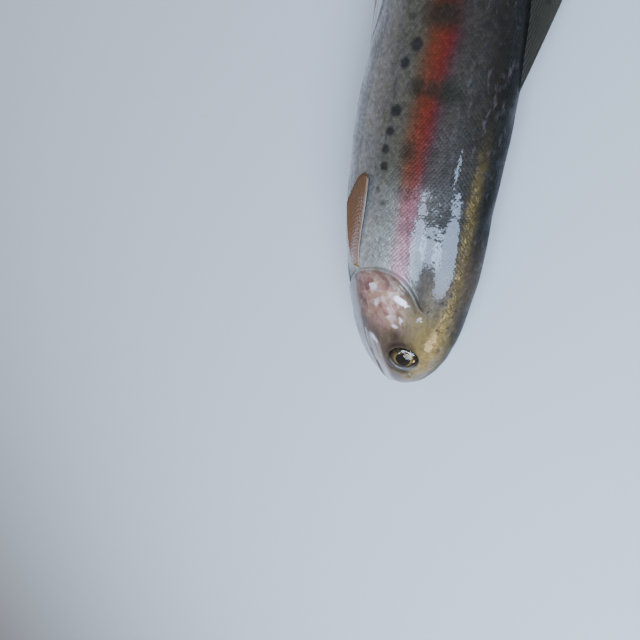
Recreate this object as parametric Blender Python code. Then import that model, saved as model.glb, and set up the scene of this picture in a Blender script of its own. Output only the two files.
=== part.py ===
"""Rainbow trout, life size, lying on its left side as a landed fish rests.

The snout points to +X, the back to +Y and the right flank up to +Z. The left flank, the left
cheek and the tail fin rest on the floor, which is Z = 0. All sizes are in millimetres until a
mesh is written, and a place along the fish is a share of the standard length, 0 at the snout
and 1 at the base of the tail fin.
"""

import math

import bpy
import numpy as np
from mathutils import Vector

# ------------------------------------------------------------------ driving dimensions (mm)
MM = 0.001
STANDARD_LENGTH = 255.0  # snout to the base of the tail fin
TOTAL_LENGTH = 300.0  # snout to the tips of the tail fin
GAP = 0.3  # clearance between two pieces that meet

# share of the standard length, height of the back, depth of the belly, half width
BODY = (
    (0.000, 0.0, 0.0, 0.0),  # snout
    (0.012, 8.2, 7.2, 6.2),  # lips
    (0.035, 14.4, 12.6, 9.8),  # nostrils
    (0.088, 22.0, 20.0, 13.8),  # eyes
    (0.165, 26.8, 25.0, 17.2),  # cheeks
    (0.235, 29.0, 28.3, 18.1),  # gill openings
    (0.330, 29.2, 30.2, 18.5),  # shoulders
    (0.480, 29.8, 28.7, 18.4),  # front of the dorsal fin
    (0.620, 27.0, 23.2, 16.4),  # back of the dorsal fin
    (0.730, 21.6, 19.0, 12.6),  # vent
    (0.850, 14.8, 14.0, 7.8),  # adipose fin
    (0.930, 12.4, 12.0, 5.0),  # narrowest part of the tail stem
    (1.000, 13.8, 13.8, 3.0),  # base of the tail fin
)
# share of the standard length, height of the backbone above the floor
BACKBONE = (
    (0.00, 6.8),
    (0.04, 11.3),
    (0.09, 14.7),
    (0.165, 16.8),
    (0.235, 17.7),
    (0.33, 18.2),
    (0.48, 18.1),
    (0.62, 16.3),
    (0.73, 13.3),
    (0.85, 9.3),
    (0.93, 6.6),
    (1.00, 4.5),
)
FULLNESS = 2.1  # exponent of the body's cross-section: 2 is an ellipse, more is squarer
RING_POINTS = 42

GILL_EDGE = 0.237  # rearmost point of the gill cover
GILL_EDGE_Y = -3.0
GILL_TOP = 12.5  # the gill opening's upper and lower ends
GILL_BOTTOM = -24.0
NAPE_SHARE = 0.186  # the head's end above the gill opening
THROAT_SHARE = 0.168  # and below it
VENT = 0.735  # the trunk ends and the tail stem starts

PREOPERCLE = 0.163  # front edge of the gill cover, behind the cheek
COVER_TOP = 12.0
COVER_BOTTOM = -20.5
COVER_THICK = 1.9

MOUTH_FRONT = (-0.02, -1.4)  # the mouth line, as share and height
MOUTH_CORNER = (0.122, -11.2)
JAW_HINGE_BOTTOM = (0.155, -45.0)
MAXILLA_FRONT = 0.020
MAXILLA_END = 0.119
MAXILLA_WIDTH = 3.6
MAXILLA_THICK = 1.2

EYE_SHARE = 0.084
EYE_Y = 6.2
EYE_RADIUS = 7.0
EYE_HALF_THICK = 3.0
EYE_SINK = 1.7  # how far the eyeball's middle lies under the head's surface

FIN_TIP_THICK = 0.6
FIN_ROOT_SINK = 2.5  # how far a fin's root starts inside the body before it is trimmed


# ------------------------------------------------------------------ the body's own shape
def through(stations, column, at):
    """Smooth curve through one column of a table: a cubic between stations, whose slopes are
    the central differences. It runs on the square root of the share, which rounds the snout."""
    table = np.array(stations)
    knots = np.sqrt(table[:, 0])
    values = table[:, column]
    slopes = np.gradient(values, knots)
    place = np.sqrt(np.clip(at, 0.0, 1.0))
    left = np.clip(np.searchsorted(knots, place, side="right") - 1, 0, len(knots) - 2)
    width = knots[left + 1] - knots[left]
    u = (place - knots[left]) / width
    rise = values[left + 1] - values[left]
    start = slopes[left] * width - rise
    end = -slopes[left + 1] * width + rise
    return values[left] + u * rise + u * (1 - u) * (start * (1 - u) + end * u)


def along(share):
    """X of a share of the standard length."""
    return TOTAL_LENGTH / 2 - np.asarray(share, float) * STANDARD_LENGTH


def backbone(share):
    """Height of the middle of the body above the floor."""
    return through(BACKBONE, 1, share)


def on_body(share, angle, out=0.0):
    """Point on the skin. Angle 0 is the right flank, 90 degrees the back, 180 the left flank.
    Out moves the point away from the skin, or into the body where it is negative."""
    share, angle = np.broadcast_arrays(np.asarray(share, float), np.asarray(angle, float))
    c, s = np.cos(angle), np.sin(angle)
    height = np.where(s > 0, through(BODY, 1, share), through(BODY, 2, share))
    half_width = through(BODY, 3, share)
    c = np.sign(c) * np.abs(c) ** (2 / FULLNESS)
    s = np.sign(s) * np.abs(s) ** (2 / FULLNESS)
    y = np.maximum(height + out, 0.0) * s
    z = backbone(share) + np.maximum(half_width + out, 0.0) * c
    return np.stack([along(share), y, z], axis=-1)


def flank(share, y, side=1):
    """Point of the right (side 1) or left (side -1) flank at a height y above the axis."""
    height = np.where(np.asarray(y) > 0, through(BODY, 1, share), through(BODY, 2, share))
    s = np.clip(np.asarray(y) / height, -1, 1)
    c = (1 - np.abs(s) ** FULLNESS) ** (1 / FULLNESS)
    z = backbone(share) + side * through(BODY, 3, share) * c
    return np.stack([along(share), np.asarray(y, float) + 0 * z, z], axis=-1)


def skin_normal(share, y, side=1):
    """Direction out of the flank at that point."""
    step = 0.004
    back = flank(share + step, y, side) - flank(share - step, y, side)
    up = flank(share, y + 1, side) - flank(share, y - 1, side)
    normal = np.cross(up, back) * side
    return normal / np.linalg.norm(normal)


# ------------------------------------------------------------------ mesh helpers
def add_object(name, points, faces):
    """Mesh object from points in millimetres, none of them under the floor."""
    points = np.array(points, float)
    points[:, 2] = np.maximum(points[:, 2], 0.0)
    mesh = bpy.data.meshes.new(name)
    mesh.from_pydata((points * MM).tolist(), [], faces)
    mesh.update()
    obj = bpy.data.objects.new(name, mesh)
    bpy.context.scene.collection.objects.link(obj)
    return obj


def ring_faces(rings, count):
    """Quads between neighbouring rings of a tube, facing out."""
    faces = []
    for r in range(rings - 1):
        for i in range(count):
            j = (i + 1) % count
            faces.append((r * count + i, r * count + j, (r + 1) * count + j, (r + 1) * count + i))
    return faces


def body_length(name, shares, out=0.0):
    """Closed length of the body between the first and last share, capped flat at both ends."""
    angles = np.linspace(0, 2 * math.pi, RING_POINTS, endpoint=False)
    points = on_body(np.array(shares)[:, None], angles[None, :], out).reshape(-1, 3)
    faces = ring_faces(len(shares), RING_POINTS)
    last = len(shares) * RING_POINTS
    faces.append(tuple(range(RING_POINTS))[::-1])
    faces.append(tuple(range(last - RING_POINTS, last)))
    return add_object(name, points, faces)


def prism(name, outline, low, high):
    """Straight block over an outline of (share, y) points, from height low to high."""
    flat = np.array([(float(along(share)), y) for share, y in outline])
    x, y = flat[:, 0], flat[:, 1]
    if np.sum(x * np.roll(y, -1) - np.roll(x, -1) * y) < 0:
        flat = flat[::-1]
    count = len(flat)
    points = [(px, py, low) for px, py in flat] + [(px, py, high) for px, py in flat]
    mesh = bpy.data.meshes.new(name)
    faces = [tuple(range(count))[::-1], tuple(range(count, 2 * count))]
    for i in range(count):
        j = (i + 1) % count
        faces.append((i, j, count + j, count + i))
    mesh.from_pydata((np.array(points) * MM).tolist(), [], faces)
    obj = bpy.data.objects.new(name, mesh)
    bpy.context.scene.collection.objects.link(obj)
    return obj


def combine(obj, other, operation):
    """Applies an exact Boolean with the other object, which is kept."""
    modifier = obj.modifiers.new("cut", "BOOLEAN")
    modifier.operation = operation
    modifier.solver = "EXACT"
    modifier.object = other
    bpy.context.view_layer.update()
    graph = bpy.context.evaluated_depsgraph_get()
    result = bpy.data.meshes.new_from_object(obj.evaluated_get(graph))
    obj.modifiers.clear()
    old = obj.data
    obj.data = result
    bpy.data.meshes.remove(old)
    return obj


def discard(*objects):
    for obj in objects:
        bpy.data.objects.remove(obj)


# ------------------------------------------------------------------ outlines in side view
def gill_line(grow=0.0, steps=19):
    """The rear edge of the head, from the back to the throat: straight down the nape, then half
    an ellipse round the gill cover above its rearmost point and half a longer one below it.
    Grow moves it towards the tail."""
    points = [(NAPE_SHARE + grow / STANDARD_LENGTH, 50.0)]
    for angle in np.linspace(math.pi / 2, -math.pi / 2, steps):
        upper = angle > 0
        root = NAPE_SHARE if upper else THROAT_SHARE
        high = (GILL_TOP if upper else -GILL_BOTTOM) - (GILL_EDGE_Y if upper else -GILL_EDGE_Y)
        depth = (GILL_EDGE - root) * math.cos(angle) + grow / STANDARD_LENGTH
        points.append((root + depth, GILL_EDGE_Y + (high + grow) * math.sin(angle)))
    points.append((THROAT_SHARE + grow / STANDARD_LENGTH, -50.0))
    return points


def head_outline(grow=0.0):
    return [(-0.05, 50.0), (0.10, 50.0), *gill_line(grow), (0.10, -50.0), (-0.05, -50.0)]


def gill_cover_outline(grow=0.0):
    """The gill cover: the preopercle's bow in front, the gill line behind, rounded corners."""
    middle = (COVER_TOP + COVER_BOTTOM) / 2
    half = (COVER_TOP - COVER_BOTTOM) / 2 + grow
    front = []
    for angle in np.linspace(-math.pi / 2, math.pi / 2, 9):
        bow = 0.012 * (1 - math.cos(angle))
        front.append((PREOPERCLE + bow - grow / STANDARD_LENGTH, middle + half * math.sin(angle)))
    rear = [
        (share, y)
        for share, y in gill_line(grow, 31)[1:-1]
        if abs(y - middle) < half * 0.93
    ]
    return front + rear


def maxilla_outline(grow=0.0):
    """The upper jaw bone: a slender leaf over the mouth line with a round rear end."""
    front = np.array([MAXILLA_FRONT, 0.0])
    slope = (MOUTH_CORNER[1] - MOUTH_FRONT[1]) / (MOUTH_CORNER[0] - MOUTH_FRONT[0])
    lower, upper = [], []
    for u in np.linspace(0, 1, 10):
        share = front[0] + u * (MAXILLA_END - front[0])
        line = MOUTH_FRONT[1] + slope * (share - MOUTH_FRONT[0]) + GAP
        width = MAXILLA_WIDTH * (0.35 + 0.65 * u) * min(1.0, math.sqrt(max(0.0, 1 - u) * 5))
        middle = line + MAXILLA_WIDTH * (0.2 + 0.32 * u)
        lower.append((share, middle - width / 2 - grow))
        upper.append((share, middle + width / 2 + grow))
    lower[-1] = (lower[-1][0] + grow / STANDARD_LENGTH, lower[-1][1])
    return lower + upper[::-1]


def jaw_outline(grow=0.0):
    return [
        (MOUTH_FRONT[0], MOUTH_FRONT[1] + grow),
        (MOUTH_CORNER[0] + grow / STANDARD_LENGTH, MOUTH_CORNER[1] + grow),
        (JAW_HINGE_BOTTOM[0] + grow / STANDARD_LENGTH, JAW_HINGE_BOTTOM[1]),
        (MOUTH_FRONT[0], JAW_HINGE_BOTTOM[1]),
    ]


# ------------------------------------------------------------------ head, trunk and tail stem
def head_shares():
    """Rings packed towards the snout, where the head rounds off."""
    return [0.0006 + 0.249 * u**1.7 for u in np.linspace(0, 1, 22)]


def side_piece(name, outline, side, thick):
    """A plate of the head's own surface over an outline, and the pocket that it lies in."""
    middle = float(backbone(0.12))
    low, high = (middle + 3.0, 60.0) if side > 0 else (-20.0, middle - 3.0)
    shares = head_shares()
    made = []
    for grow, depth in ((0.0, thick), (GAP, thick + GAP)):
        core = body_length("core", shares, -depth)
        block = prism("block", outline(grow), low, high)
        combine(block, core, "DIFFERENCE")
        discard(core)
        made.append(block)
    plate, pocket = made
    skin = body_length("skin", shares)
    combine(plate, skin, "INTERSECT")
    discard(skin)
    plate.name = name
    return plate, pocket


def make_head():
    """Head with its gill covers, upper jaw bones, lower jaw and eyes."""
    head = body_length("head", head_shares())
    ahead = prism("ahead", head_outline(), -20.0, 60.0)
    combine(head, ahead, "INTERSECT")

    jaw = body_length("lower_jaw", head_shares())
    for grow, target, operation in ((0.0, jaw, "INTERSECT"), (GAP, head, "DIFFERENCE")):
        block = prism("block", jaw_outline(grow), -20.0, 60.0)
        combine(target, block, operation)
        discard(block)

    for side, word in ((1, "right"), (-1, "left")):
        cover, pocket = side_piece(f"gill_cover_{word}", gill_cover_outline, side, COVER_THICK)
        combine(cover, ahead, "INTERSECT")
        combine(head, pocket, "DIFFERENCE")
        discard(pocket)
        maxilla, pocket = side_piece(f"maxilla_{word}", maxilla_outline, side, MAXILLA_THICK)
        combine(head, pocket, "DIFFERENCE")
        discard(pocket)
        eye, socket = make_eye(f"eye_{word}", side)
        combine(head, socket, "DIFFERENCE")
        discard(socket)
        for piece in (cover, maxilla):
            paint(piece, "cheek")
        paint(eye, "eye")
    discard(ahead)
    paint(head, "olive_back")
    paint(jaw, "cheek")


def lens(name, centre, normal, radius, half_thick, turns=20, layers=8):
    """Flattened ball whose short axis is the normal."""
    points = []
    for layer in range(1, layers):
        polar = math.pi * layer / layers
        for i in range(turns):
            angle = 2 * math.pi * i / turns
            points.append(
                (
                    radius * math.sin(polar) * math.cos(angle),
                    radius * math.sin(polar) * math.sin(angle),
                    half_thick * math.cos(polar),
                )
            )
    faces = [face[::-1] for face in ring_faces(layers - 1, turns)]
    top, bottom = len(points), len(points) + 1
    points += [(0, 0, half_thick), (0, 0, -half_thick)]
    last = (layers - 2) * turns
    for i in range(turns):
        j = (i + 1) % turns
        faces.append((top, i, j))
        faces.append((bottom, last + j, last + i))
    turn = Vector((0, 0, 1)).rotation_difference(Vector(normal)).to_matrix()
    placed = [np.array(turn @ Vector(p)) + centre for p in points]
    return add_object(name, placed, faces)


def make_eye(name, side):
    surface = flank(EYE_SHARE, EYE_Y, side)
    normal = skin_normal(EYE_SHARE, EYE_Y, side)
    centre = surface - normal * EYE_SINK
    ball = lens(name, centre, normal, EYE_RADIUS, EYE_HALF_THICK)
    socket = lens("socket", centre, normal, EYE_RADIUS + GAP, EYE_HALF_THICK + GAP)
    return ball, socket


def make_trunk_and_tail_stem():
    trunk = body_length("trunk", np.linspace(0.145, VENT, 22))
    ahead = prism("ahead", head_outline(GAP), -20.0, 60.0)
    combine(trunk, ahead, "DIFFERENCE")
    discard(ahead)
    stem = body_length("tail_stem", np.linspace(VENT + GAP / STANDARD_LENGTH, 1.0, 11))
    paint(trunk, "flank")
    paint(stem, "flank")


# ------------------------------------------------------------------ fins
def plate(name, middle, thick):
    """Closed thin solid round a grid of points: half the thickness to each side of it."""
    along_u = np.gradient(middle, axis=0)
    along_v = np.gradient(middle, axis=1)
    normal = np.cross(along_u, along_v)
    normal /= np.linalg.norm(normal, axis=2, keepdims=True)
    offset = normal * np.asarray(thick)[..., None] / 2
    lift = np.maximum(0.0, offset[..., 2].__abs__() - middle[..., 2])
    middle = middle + np.stack([0 * lift, 0 * lift, lift], axis=-1)
    nu, nv = middle.shape[:2]
    points = np.concatenate([(middle + offset).reshape(-1, 3), (middle - offset).reshape(-1, 3)])

    def top(i, j):
        return i * nv + j

    def under(i, j):
        return nu * nv + i * nv + j

    faces = []
    for i in range(nu - 1):
        for j in range(nv - 1):
            faces.append((top(i, j), top(i + 1, j), top(i + 1, j + 1), top(i, j + 1)))
            faces.append((under(i, j), under(i, j + 1), under(i + 1, j + 1), under(i + 1, j)))
    for i in range(nu - 1):
        faces.append((top(i, 0), under(i, 0), under(i + 1, 0), top(i + 1, 0)))
        faces.append((top(i, nv - 1), top(i + 1, nv - 1), under(i + 1, nv - 1), under(i, nv - 1)))
    for j in range(nv - 1):
        faces.append((top(0, j), top(0, j + 1), under(0, j + 1), under(0, j)))
        faces.append((top(nu - 1, j), under(nu - 1, j), under(nu - 1, j + 1), top(nu - 1, j + 1)))
    return add_object(name, points, faces)


def trim_to_body(fin, shares):
    """Cuts away what lies inside the body, and leaves the usual gap to its skin."""
    body = body_length("body", shares, GAP)
    combine(fin, body, "DIFFERENCE")
    discard(body)
    paint(fin, "fin")


def median_fin(name, front, rear, side, lengths, leans, root_thick, droop, rays=12, steps=7):
    """A fin of the midline on the back (side 1) or the belly (side -1). Its rays stand on the
    body between two shares. Lengths and leans, in degrees from the body's axis, go from the
    first ray to the last, and droop is how far the longest ray's tip sinks."""
    u = np.linspace(0, 1, rays)[:, None]
    v = np.linspace(0, 1, steps)[None, :]
    share = front + (rear - front) * u
    height = through(BODY, 1 if side > 0 else 2, share)
    rounded = 1 - 0.12 * np.clip(1 - u / 0.12, 0, 1) ** 2
    length = (lengths[0] + (lengths[1] - lengths[0]) * u**0.8) * rounded
    lean = np.radians(leans[0] + (leans[1] - leans[0]) * u) * (1 - 0.15 * v)
    run = v * (length + FIN_ROOT_SINK) - FIN_ROOT_SINK
    x = along(share) - run * np.cos(lean)
    y = side * (height + run * np.sin(lean))
    back_share = (TOTAL_LENGTH / 2 - x) / STANDARD_LENGTH
    z = backbone(back_share) - droop * np.clip(run / lengths[0], 0, 1) ** 1.5
    thick = root_thick + (FIN_TIP_THICK - root_thick) * v**0.6 + 0 * u
    fin = plate(name, np.stack([x, y, z], axis=-1), thick)
    trim_to_body(fin, np.linspace(max(front - 0.06, 0.2), min(rear + 0.1, 1.0), 12))


def make_tail_fin():
    """The tail fin: a fan of rays from the end of the stem, longest at its two lobes, so that
    its rear edge is forked. It sinks to the floor behind the stem."""
    rays, steps = 19, 9
    fork = 27.0
    lobe = TOTAL_LENGTH - STANDARD_LENGTH
    root = 13.0
    u = np.linspace(-1, 1, rays)[:, None]
    v = np.linspace(0, 1, steps)[None, :]
    reach = fork + (lobe - fork) * np.abs(u) ** 1.6 - 3.5 * np.clip(np.abs(u) - 0.88, 0, 1) / 0.12
    spread = np.radians(24.0) * u
    x = along(1.0) - 0.4 - v * reach
    y = u * root + v * reach * np.tan(spread)
    start = float(backbone(1.0))
    z = start * (1 - v) ** 1.6 + FIN_TIP_THICK / 2 + 0 * u
    thick = 5.0 * (1 - v) ** 2.2 * (1 - 0.45 * np.abs(u)) + FIN_TIP_THICK
    fin = plate("tail_fin", np.stack([x + 0 * u, y, z], axis=-1), thick)
    trim_to_body(fin, np.linspace(0.9, 1.0, 4))


def paired_fin(name, share, angle, length, width, side, sweep, lift, rays=8, steps=8):
    """A pectoral or pelvic fin folded back along the body. Share and angle, in degrees from the
    right flank, place its root; sweep turns it round the body towards its tip, and lift is how
    far the tip stands off the skin."""
    u = np.linspace(0, 1, rays)[:, None]
    v = np.linspace(0, 1, steps)[None, :]
    full = length * (1 - 0.34 * u**1.8) * (1 - 0.05 * np.clip(1 - u / 0.15, 0, 1))
    at = share + v * full / STANDARD_LENGTH
    girth = np.radians(angle + sweep * v)
    spread = width * (0.35 + 0.65 * np.sin(v * math.pi / 2)) / 24.0
    girth = girth - spread * (u - 0.5)
    off = GAP + FIN_TIP_THICK + lift * v**1.5 + 0.35 * (1 - v)
    points = on_body(at, girth, off)
    if side < 0:
        middle = backbone(at)
        points[..., 2] = 2 * middle - points[..., 2]
    thick = FIN_TIP_THICK + 0.6 * (1 - v) ** 2 + 0 * u
    fin = plate(name, points, thick)
    trim_to_body(fin, np.linspace(share - 0.08, min(share + 0.26, 1.0), 24))


def make_adipose_fin():
    """The small fleshy lobe between the dorsal fin and the tail, which leans back."""
    u = np.linspace(0, 1, 6)[:, None]
    v = np.linspace(0, 1, 6)[None, :]
    front, root, reach = 0.838, 7.0, 12.5
    share = front + root * u / STANDARD_LENGTH
    height = through(BODY, 1, share)
    run = v * (reach * (1 - 0.55 * u) + FIN_ROOT_SINK) - FIN_ROOT_SINK
    lean = np.radians(44 - 14 * v)
    x = along(share) - run * np.cos(lean)
    y = height + run * np.sin(lean)
    z = backbone((TOTAL_LENGTH / 2 - x) / STANDARD_LENGTH)
    thick = 2.2 - 1.1 * v + 0 * u
    fin = plate("adipose_fin", np.stack([x, y, z], axis=-1), thick)
    trim_to_body(fin, np.linspace(0.78, 0.97, 9))


def make_fins():
    median_fin("dorsal_fin", 0.495, 0.625, 1, (33.0, 15.0), (15.0, 10.0), 2.4, 5.0)
    median_fin("anal_fin", 0.742, 0.846, -1, (26.0, 12.0), (44.0, 28.0), 2.0, 4.0)
    make_adipose_fin()
    make_tail_fin()
    for side, word in ((1, "right"), (-1, "left")):
        paired_fin(f"pectoral_fin_{word}", 0.231, -41.0, 38.0, 11.0, side, 2.0, 0.7)
        paired_fin(f"pelvic_fin_{word}", 0.545, -76.0, 29.0, 9.0, side, 12.0, 2.2)


# ------------------------------------------------------------------ materials
FINISHES = {  # colour, roughness, metallic
    "olive_back": ((0.10, 0.09, 0.05), 0.30, 0.1),
    "cheek": ((0.45, 0.30, 0.26), 0.25, 0.3),
    "flank": ((0.33, 0.31, 0.26), 0.25, 0.3),
    "fin": ((0.32, 0.20, 0.10), 0.35, 0.0),
    "eye": ((0.04, 0.03, 0.02), 0.05, 0.0),
}


def paint(obj, finish):
    """Gives the object its finish and smooth shading between its sharp edges."""
    material = bpy.data.materials.get(finish)
    if material is None:
        colour, roughness, metallic = FINISHES[finish]
        material = bpy.data.materials.new(finish)
        material.use_nodes = True
        shader = material.node_tree.nodes["Principled BSDF"]
        shader.inputs["Base Color"].default_value = (*colour, 1.0)
        shader.inputs["Roughness"].default_value = roughness
        shader.inputs["Metallic"].default_value = metallic
    obj.data.materials.clear()
    obj.data.materials.append(material)
    obj.data.shade_smooth()
    obj.data.set_sharp_from_angle(angle=math.radians(40))


def centre_on_origin():
    """Moves the finished fish sideways, so that the origin is under the middle of its box."""
    corners = np.array(
        [v.co for obj in bpy.context.scene.objects if obj.type == "MESH" for v in obj.data.vertices]
    )
    middle = (corners.min(axis=0) + corners.max(axis=0)) / 2
    for obj in bpy.context.scene.objects:
        obj.location = (-middle[0], -middle[1], 0.0)


def main():
    for obj in list(bpy.data.objects):
        bpy.data.objects.remove(obj)
    make_head()
    make_trunk_and_tail_stem()
    make_fins()
    centre_on_origin()


main()
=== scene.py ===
"""A rainbow trout at life size, freshly landed and wet, lying on its left side.

The snout points to +X, the back to +Y and the right flank up. Places on the fish are given as
a share of its standard length, 0 at the snout and 1 at the base of the tail fin, and as an angle
round it: 0 on the right flank, 90 degrees on the back, 180 on the left flank. Lengths are in
millimetres until a mesh is written.
"""

import math

import bpy
import numpy as np
from mathutils import Matrix, Vector


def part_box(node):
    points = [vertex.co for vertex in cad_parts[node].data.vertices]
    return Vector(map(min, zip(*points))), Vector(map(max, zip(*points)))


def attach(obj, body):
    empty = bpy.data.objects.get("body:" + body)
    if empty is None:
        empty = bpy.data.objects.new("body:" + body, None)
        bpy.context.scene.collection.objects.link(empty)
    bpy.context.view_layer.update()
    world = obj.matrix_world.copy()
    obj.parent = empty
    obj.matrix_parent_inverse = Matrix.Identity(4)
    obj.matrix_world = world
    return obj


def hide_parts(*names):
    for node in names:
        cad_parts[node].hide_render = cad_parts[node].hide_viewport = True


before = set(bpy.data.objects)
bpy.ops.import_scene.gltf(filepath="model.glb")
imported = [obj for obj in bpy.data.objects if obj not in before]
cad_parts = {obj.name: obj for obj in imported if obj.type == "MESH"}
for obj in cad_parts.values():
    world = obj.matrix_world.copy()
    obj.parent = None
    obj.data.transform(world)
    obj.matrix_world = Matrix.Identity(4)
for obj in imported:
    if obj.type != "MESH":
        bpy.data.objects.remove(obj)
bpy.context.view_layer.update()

# ============================================================================ skin
# The fish's own skin, one unbroken wet sheet over head, trunk and tail stem. It is scaleless and
# tight over the skull's thin bones on the head, where the jaws, the gill covers and the eye
# sockets show through it, and it carries the scales from the gill openings back.
MM = 0.001
STANDARD_LENGTH = 255.0
TAIL_ROOT = 1.035  # where the skin has run out on to the tail fin's rays
# share, height of the back, depth of the belly, half width
BODY = np.array(
    [
        (0.000, 0.0, 0.0, 0.0),  # snout
        (0.012, 8.2, 7.2, 6.2),  # lips
        (0.035, 14.4, 12.6, 9.8),  # nostrils
        (0.088, 22.0, 20.0, 13.8),  # eyes
        (0.165, 26.8, 25.0, 17.2),  # cheeks
        (0.235, 29.0, 28.3, 18.1),  # gill openings
        (0.330, 29.2, 30.2, 18.5),  # shoulders
        (0.480, 29.8, 28.7, 18.4),  # front of the dorsal fin
        (0.620, 27.0, 23.2, 16.4),  # back of the dorsal fin
        (0.730, 21.6, 19.0, 12.6),  # vent
        (0.850, 14.8, 14.0, 7.8),  # adipose fin
        (0.930, 12.4, 12.0, 5.0),  # narrowest part of the tail stem
        (1.000, 13.8, 13.8, 3.0),  # base of the tail fin
        (1.035, 14.6, 14.6, 0.3),  # end of the skin, thinned into the fin
    ]
)
# share, height of the backbone above the floor
BACKBONE = np.array(
    [
        (0.000, 6.8),
        (0.040, 11.3),
        (0.090, 14.7),
        (0.165, 16.8),
        (0.235, 17.7),
        (0.330, 18.2),
        (0.480, 18.1),
        (0.620, 16.3),
        (0.730, 13.3),
        (0.850, 9.3),
        (0.930, 6.6),
        (1.000, 4.5),
        (1.035, 3.3),
    ]
)
FULLNESS = 2.1
SNOUT_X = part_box("head")[1].x / MM - 0.15


def smooth_curve(knots, values, at):
    """Cubic through the knots, whose slope at each is that of its two neighbours' chord."""
    slopes = np.gradient(values, knots)
    at = np.clip(at, knots[0], knots[-1])
    left = np.clip(np.searchsorted(knots, at, side="right") - 1, 0, len(knots) - 2)
    width = knots[left + 1] - knots[left]
    u = (at - knots[left]) / width
    rise = values[left + 1] - values[left]
    start = slopes[left] * width - rise
    end = rise - slopes[left + 1] * width
    return values[left] + u * rise + u * (1 - u) * (start * (1 - u) + end * u)


def body_size(column, share):
    """One column of the body's table at a share, along the share's square root, which rounds
    the snout."""
    return smooth_curve(np.sqrt(BODY[:, 0]), BODY[:, column], np.sqrt(np.clip(share, 0, None)))


trunk_low, trunk_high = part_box("trunk")
fullest = [body_size(column, np.linspace(0.25, 0.6, 141)).max() for column in (1, 2)]
AXIS_Y = (trunk_low.y + trunk_high.y) / 2 / MM + (fullest[1] - fullest[0]) / 2


def backbone(share):
    """Height of the body's middle above the floor."""
    return smooth_curve(np.sqrt(BACKBONE[:, 0]), BACKBONE[:, 1], np.sqrt(np.clip(share, 0, None)))


def body_point(share, angle, out=0.0):
    """Point on a superellipse round the backbone, its half axes taken from the body's table
    and made longer by out."""
    share, angle = np.broadcast_arrays(np.asarray(share, float), np.asarray(angle, float))
    c, s = np.cos(angle), np.sin(angle)
    height = np.where(s > 0, body_size(1, share), body_size(2, share))
    c = np.sign(c) * np.abs(c) ** (2 / FULLNESS)
    s = np.sign(s) * np.abs(s) ** (2 / FULLNESS)
    x = SNOUT_X - share * STANDARD_LENGTH
    y = AXIS_Y + np.maximum(height + out, 0) * s
    z = backbone(share) + np.maximum(body_size(3, share) + out, 0) * c
    return np.stack([x, y, z], axis=-1)


def body_frame(share, angle):
    """Unit directions at a point of the body: towards the tail, round the body, and outward."""
    tailward = body_point(share + 0.002, angle) - body_point(share - 0.002, angle)
    around = body_point(share, angle + 0.01) - body_point(share, angle - 0.01)
    outward = np.cross(around, tailward)
    tailward, around, outward = (
        v / np.linalg.norm(v, axis=-1, keepdims=True) for v in (tailward, around, outward)
    )
    return tailward, around, outward


def swell(share, angle):
    """Slight unevenness of the flesh, in millimetres: three crossing waves, longer than a
    scale, that fade out towards snout and tail."""
    x = share * STANDARD_LENGTH
    waves = 0.10 * np.sin(x / 5.3 + 2.0 * np.sin(angle * 2 + 0.6)) * np.sin(angle * 3 + 0.4)
    waves += 0.07 * np.sin(x / 2.9 + 5 * np.cos(angle) + 1.7)
    waves += 0.05 * np.sin(x / 7.1 - 9 * np.sin(angle))
    return (waves - 0.2) * soft_step(share, 0.02, 0.10) * (1 - soft_step(share, 0.85, 1.0))


def flank_angle(share, y, side):
    """Angle of the point at a height y above the axis, on the right flank where side is 1."""
    height = np.where(np.asarray(y) > 0, body_size(1, share), body_size(2, share))
    s = np.clip(np.asarray(y) / height, -1, 1)
    angle = np.arcsin(np.sign(s) * np.abs(s) ** (FULLNESS / 2))
    return angle if side > 0 else math.pi - angle


def soft_step(value, low, high):
    """0 below low, 1 above high, and a smooth rise between."""
    u = np.clip((value - low) / (high - low), 0, 1)
    return u * u * (3 - 2 * u)


def ridge(distance, width):
    """A bell of height 1 and the given half width."""
    return np.exp(-((distance / width) ** 2))


# The gill opening, as angle in degrees from the flank and distance behind the snout.
GILL_OPENING = np.array(
    [
        (-90, 30.0),
        (-78, 36.5),
        (-66, 45.0),
        (-55, 50.5),
        (-42, 55.5),
        (-27, 59.0),
        (-8, 60.6),
        (0, 60.0),
        (9, 57.2),
        (17, 52.6),
        (23, 48.2),
        (29, 45.6),
        (90, 45.6),
    ]
)
# The preopercle's rear edge, a crescent in front of the gill cover.
CRESCENT = np.array(
    [
        (-90, 20.0),
        (-62, 27.0),
        (-50, 34.5),
        (-36, 39.8),
        (-20, 42.6),
        (0, 43.0),
        (24, 40.5),
        (90, 36.0),
    ]
)
MEAN_RADIUS = 22.0  # of head and shoulders, round the backbone
EYE_SHARE = 0.084
EYE_Y = 6.2
NOSTRILS = ((0.0405, 7.6), (0.0485, 8.6))  # share and height over the axis of each pit
MOUTH_SLOPE = -0.27
MOUTH_CORNER = 30.5  # behind the snout
COVER_TOP = (math.radians(24), math.radians(33))  # angles over which the opening fades out
NAPE = (math.radians(22), math.radians(36))  # angles over which the scaled nape takes its place


def fold(angle):
    """Angle brought round to the nearer flank: from -90 degrees on the belly to 90 on the back."""
    return np.arctan2(np.sin(angle), np.abs(np.cos(angle)))


def behind(line, behind_snout, folded):
    """Distance of a point behind a line that is given as distance over angle: the distance
    along the body, shortened by the line's slant."""
    knots, values = np.radians(line[:, 0]), line[:, 1]
    place = smooth_curve(knots, values, folded)
    slope = (smooth_curve(knots, values, folded + 0.02) - place) / (0.02 * MEAN_RADIUS)
    return (behind_snout - place) / np.sqrt(1 + slope**2)


def mouth_line(behind_snout):
    """Height of the mouth's line, which falls evenly from the lips to the jaw's corner."""
    return -1.4 + MOUTH_SLOPE * (behind_snout + 5.1) + 0.6 * ridge(behind_snout - 14, 9)


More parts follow.
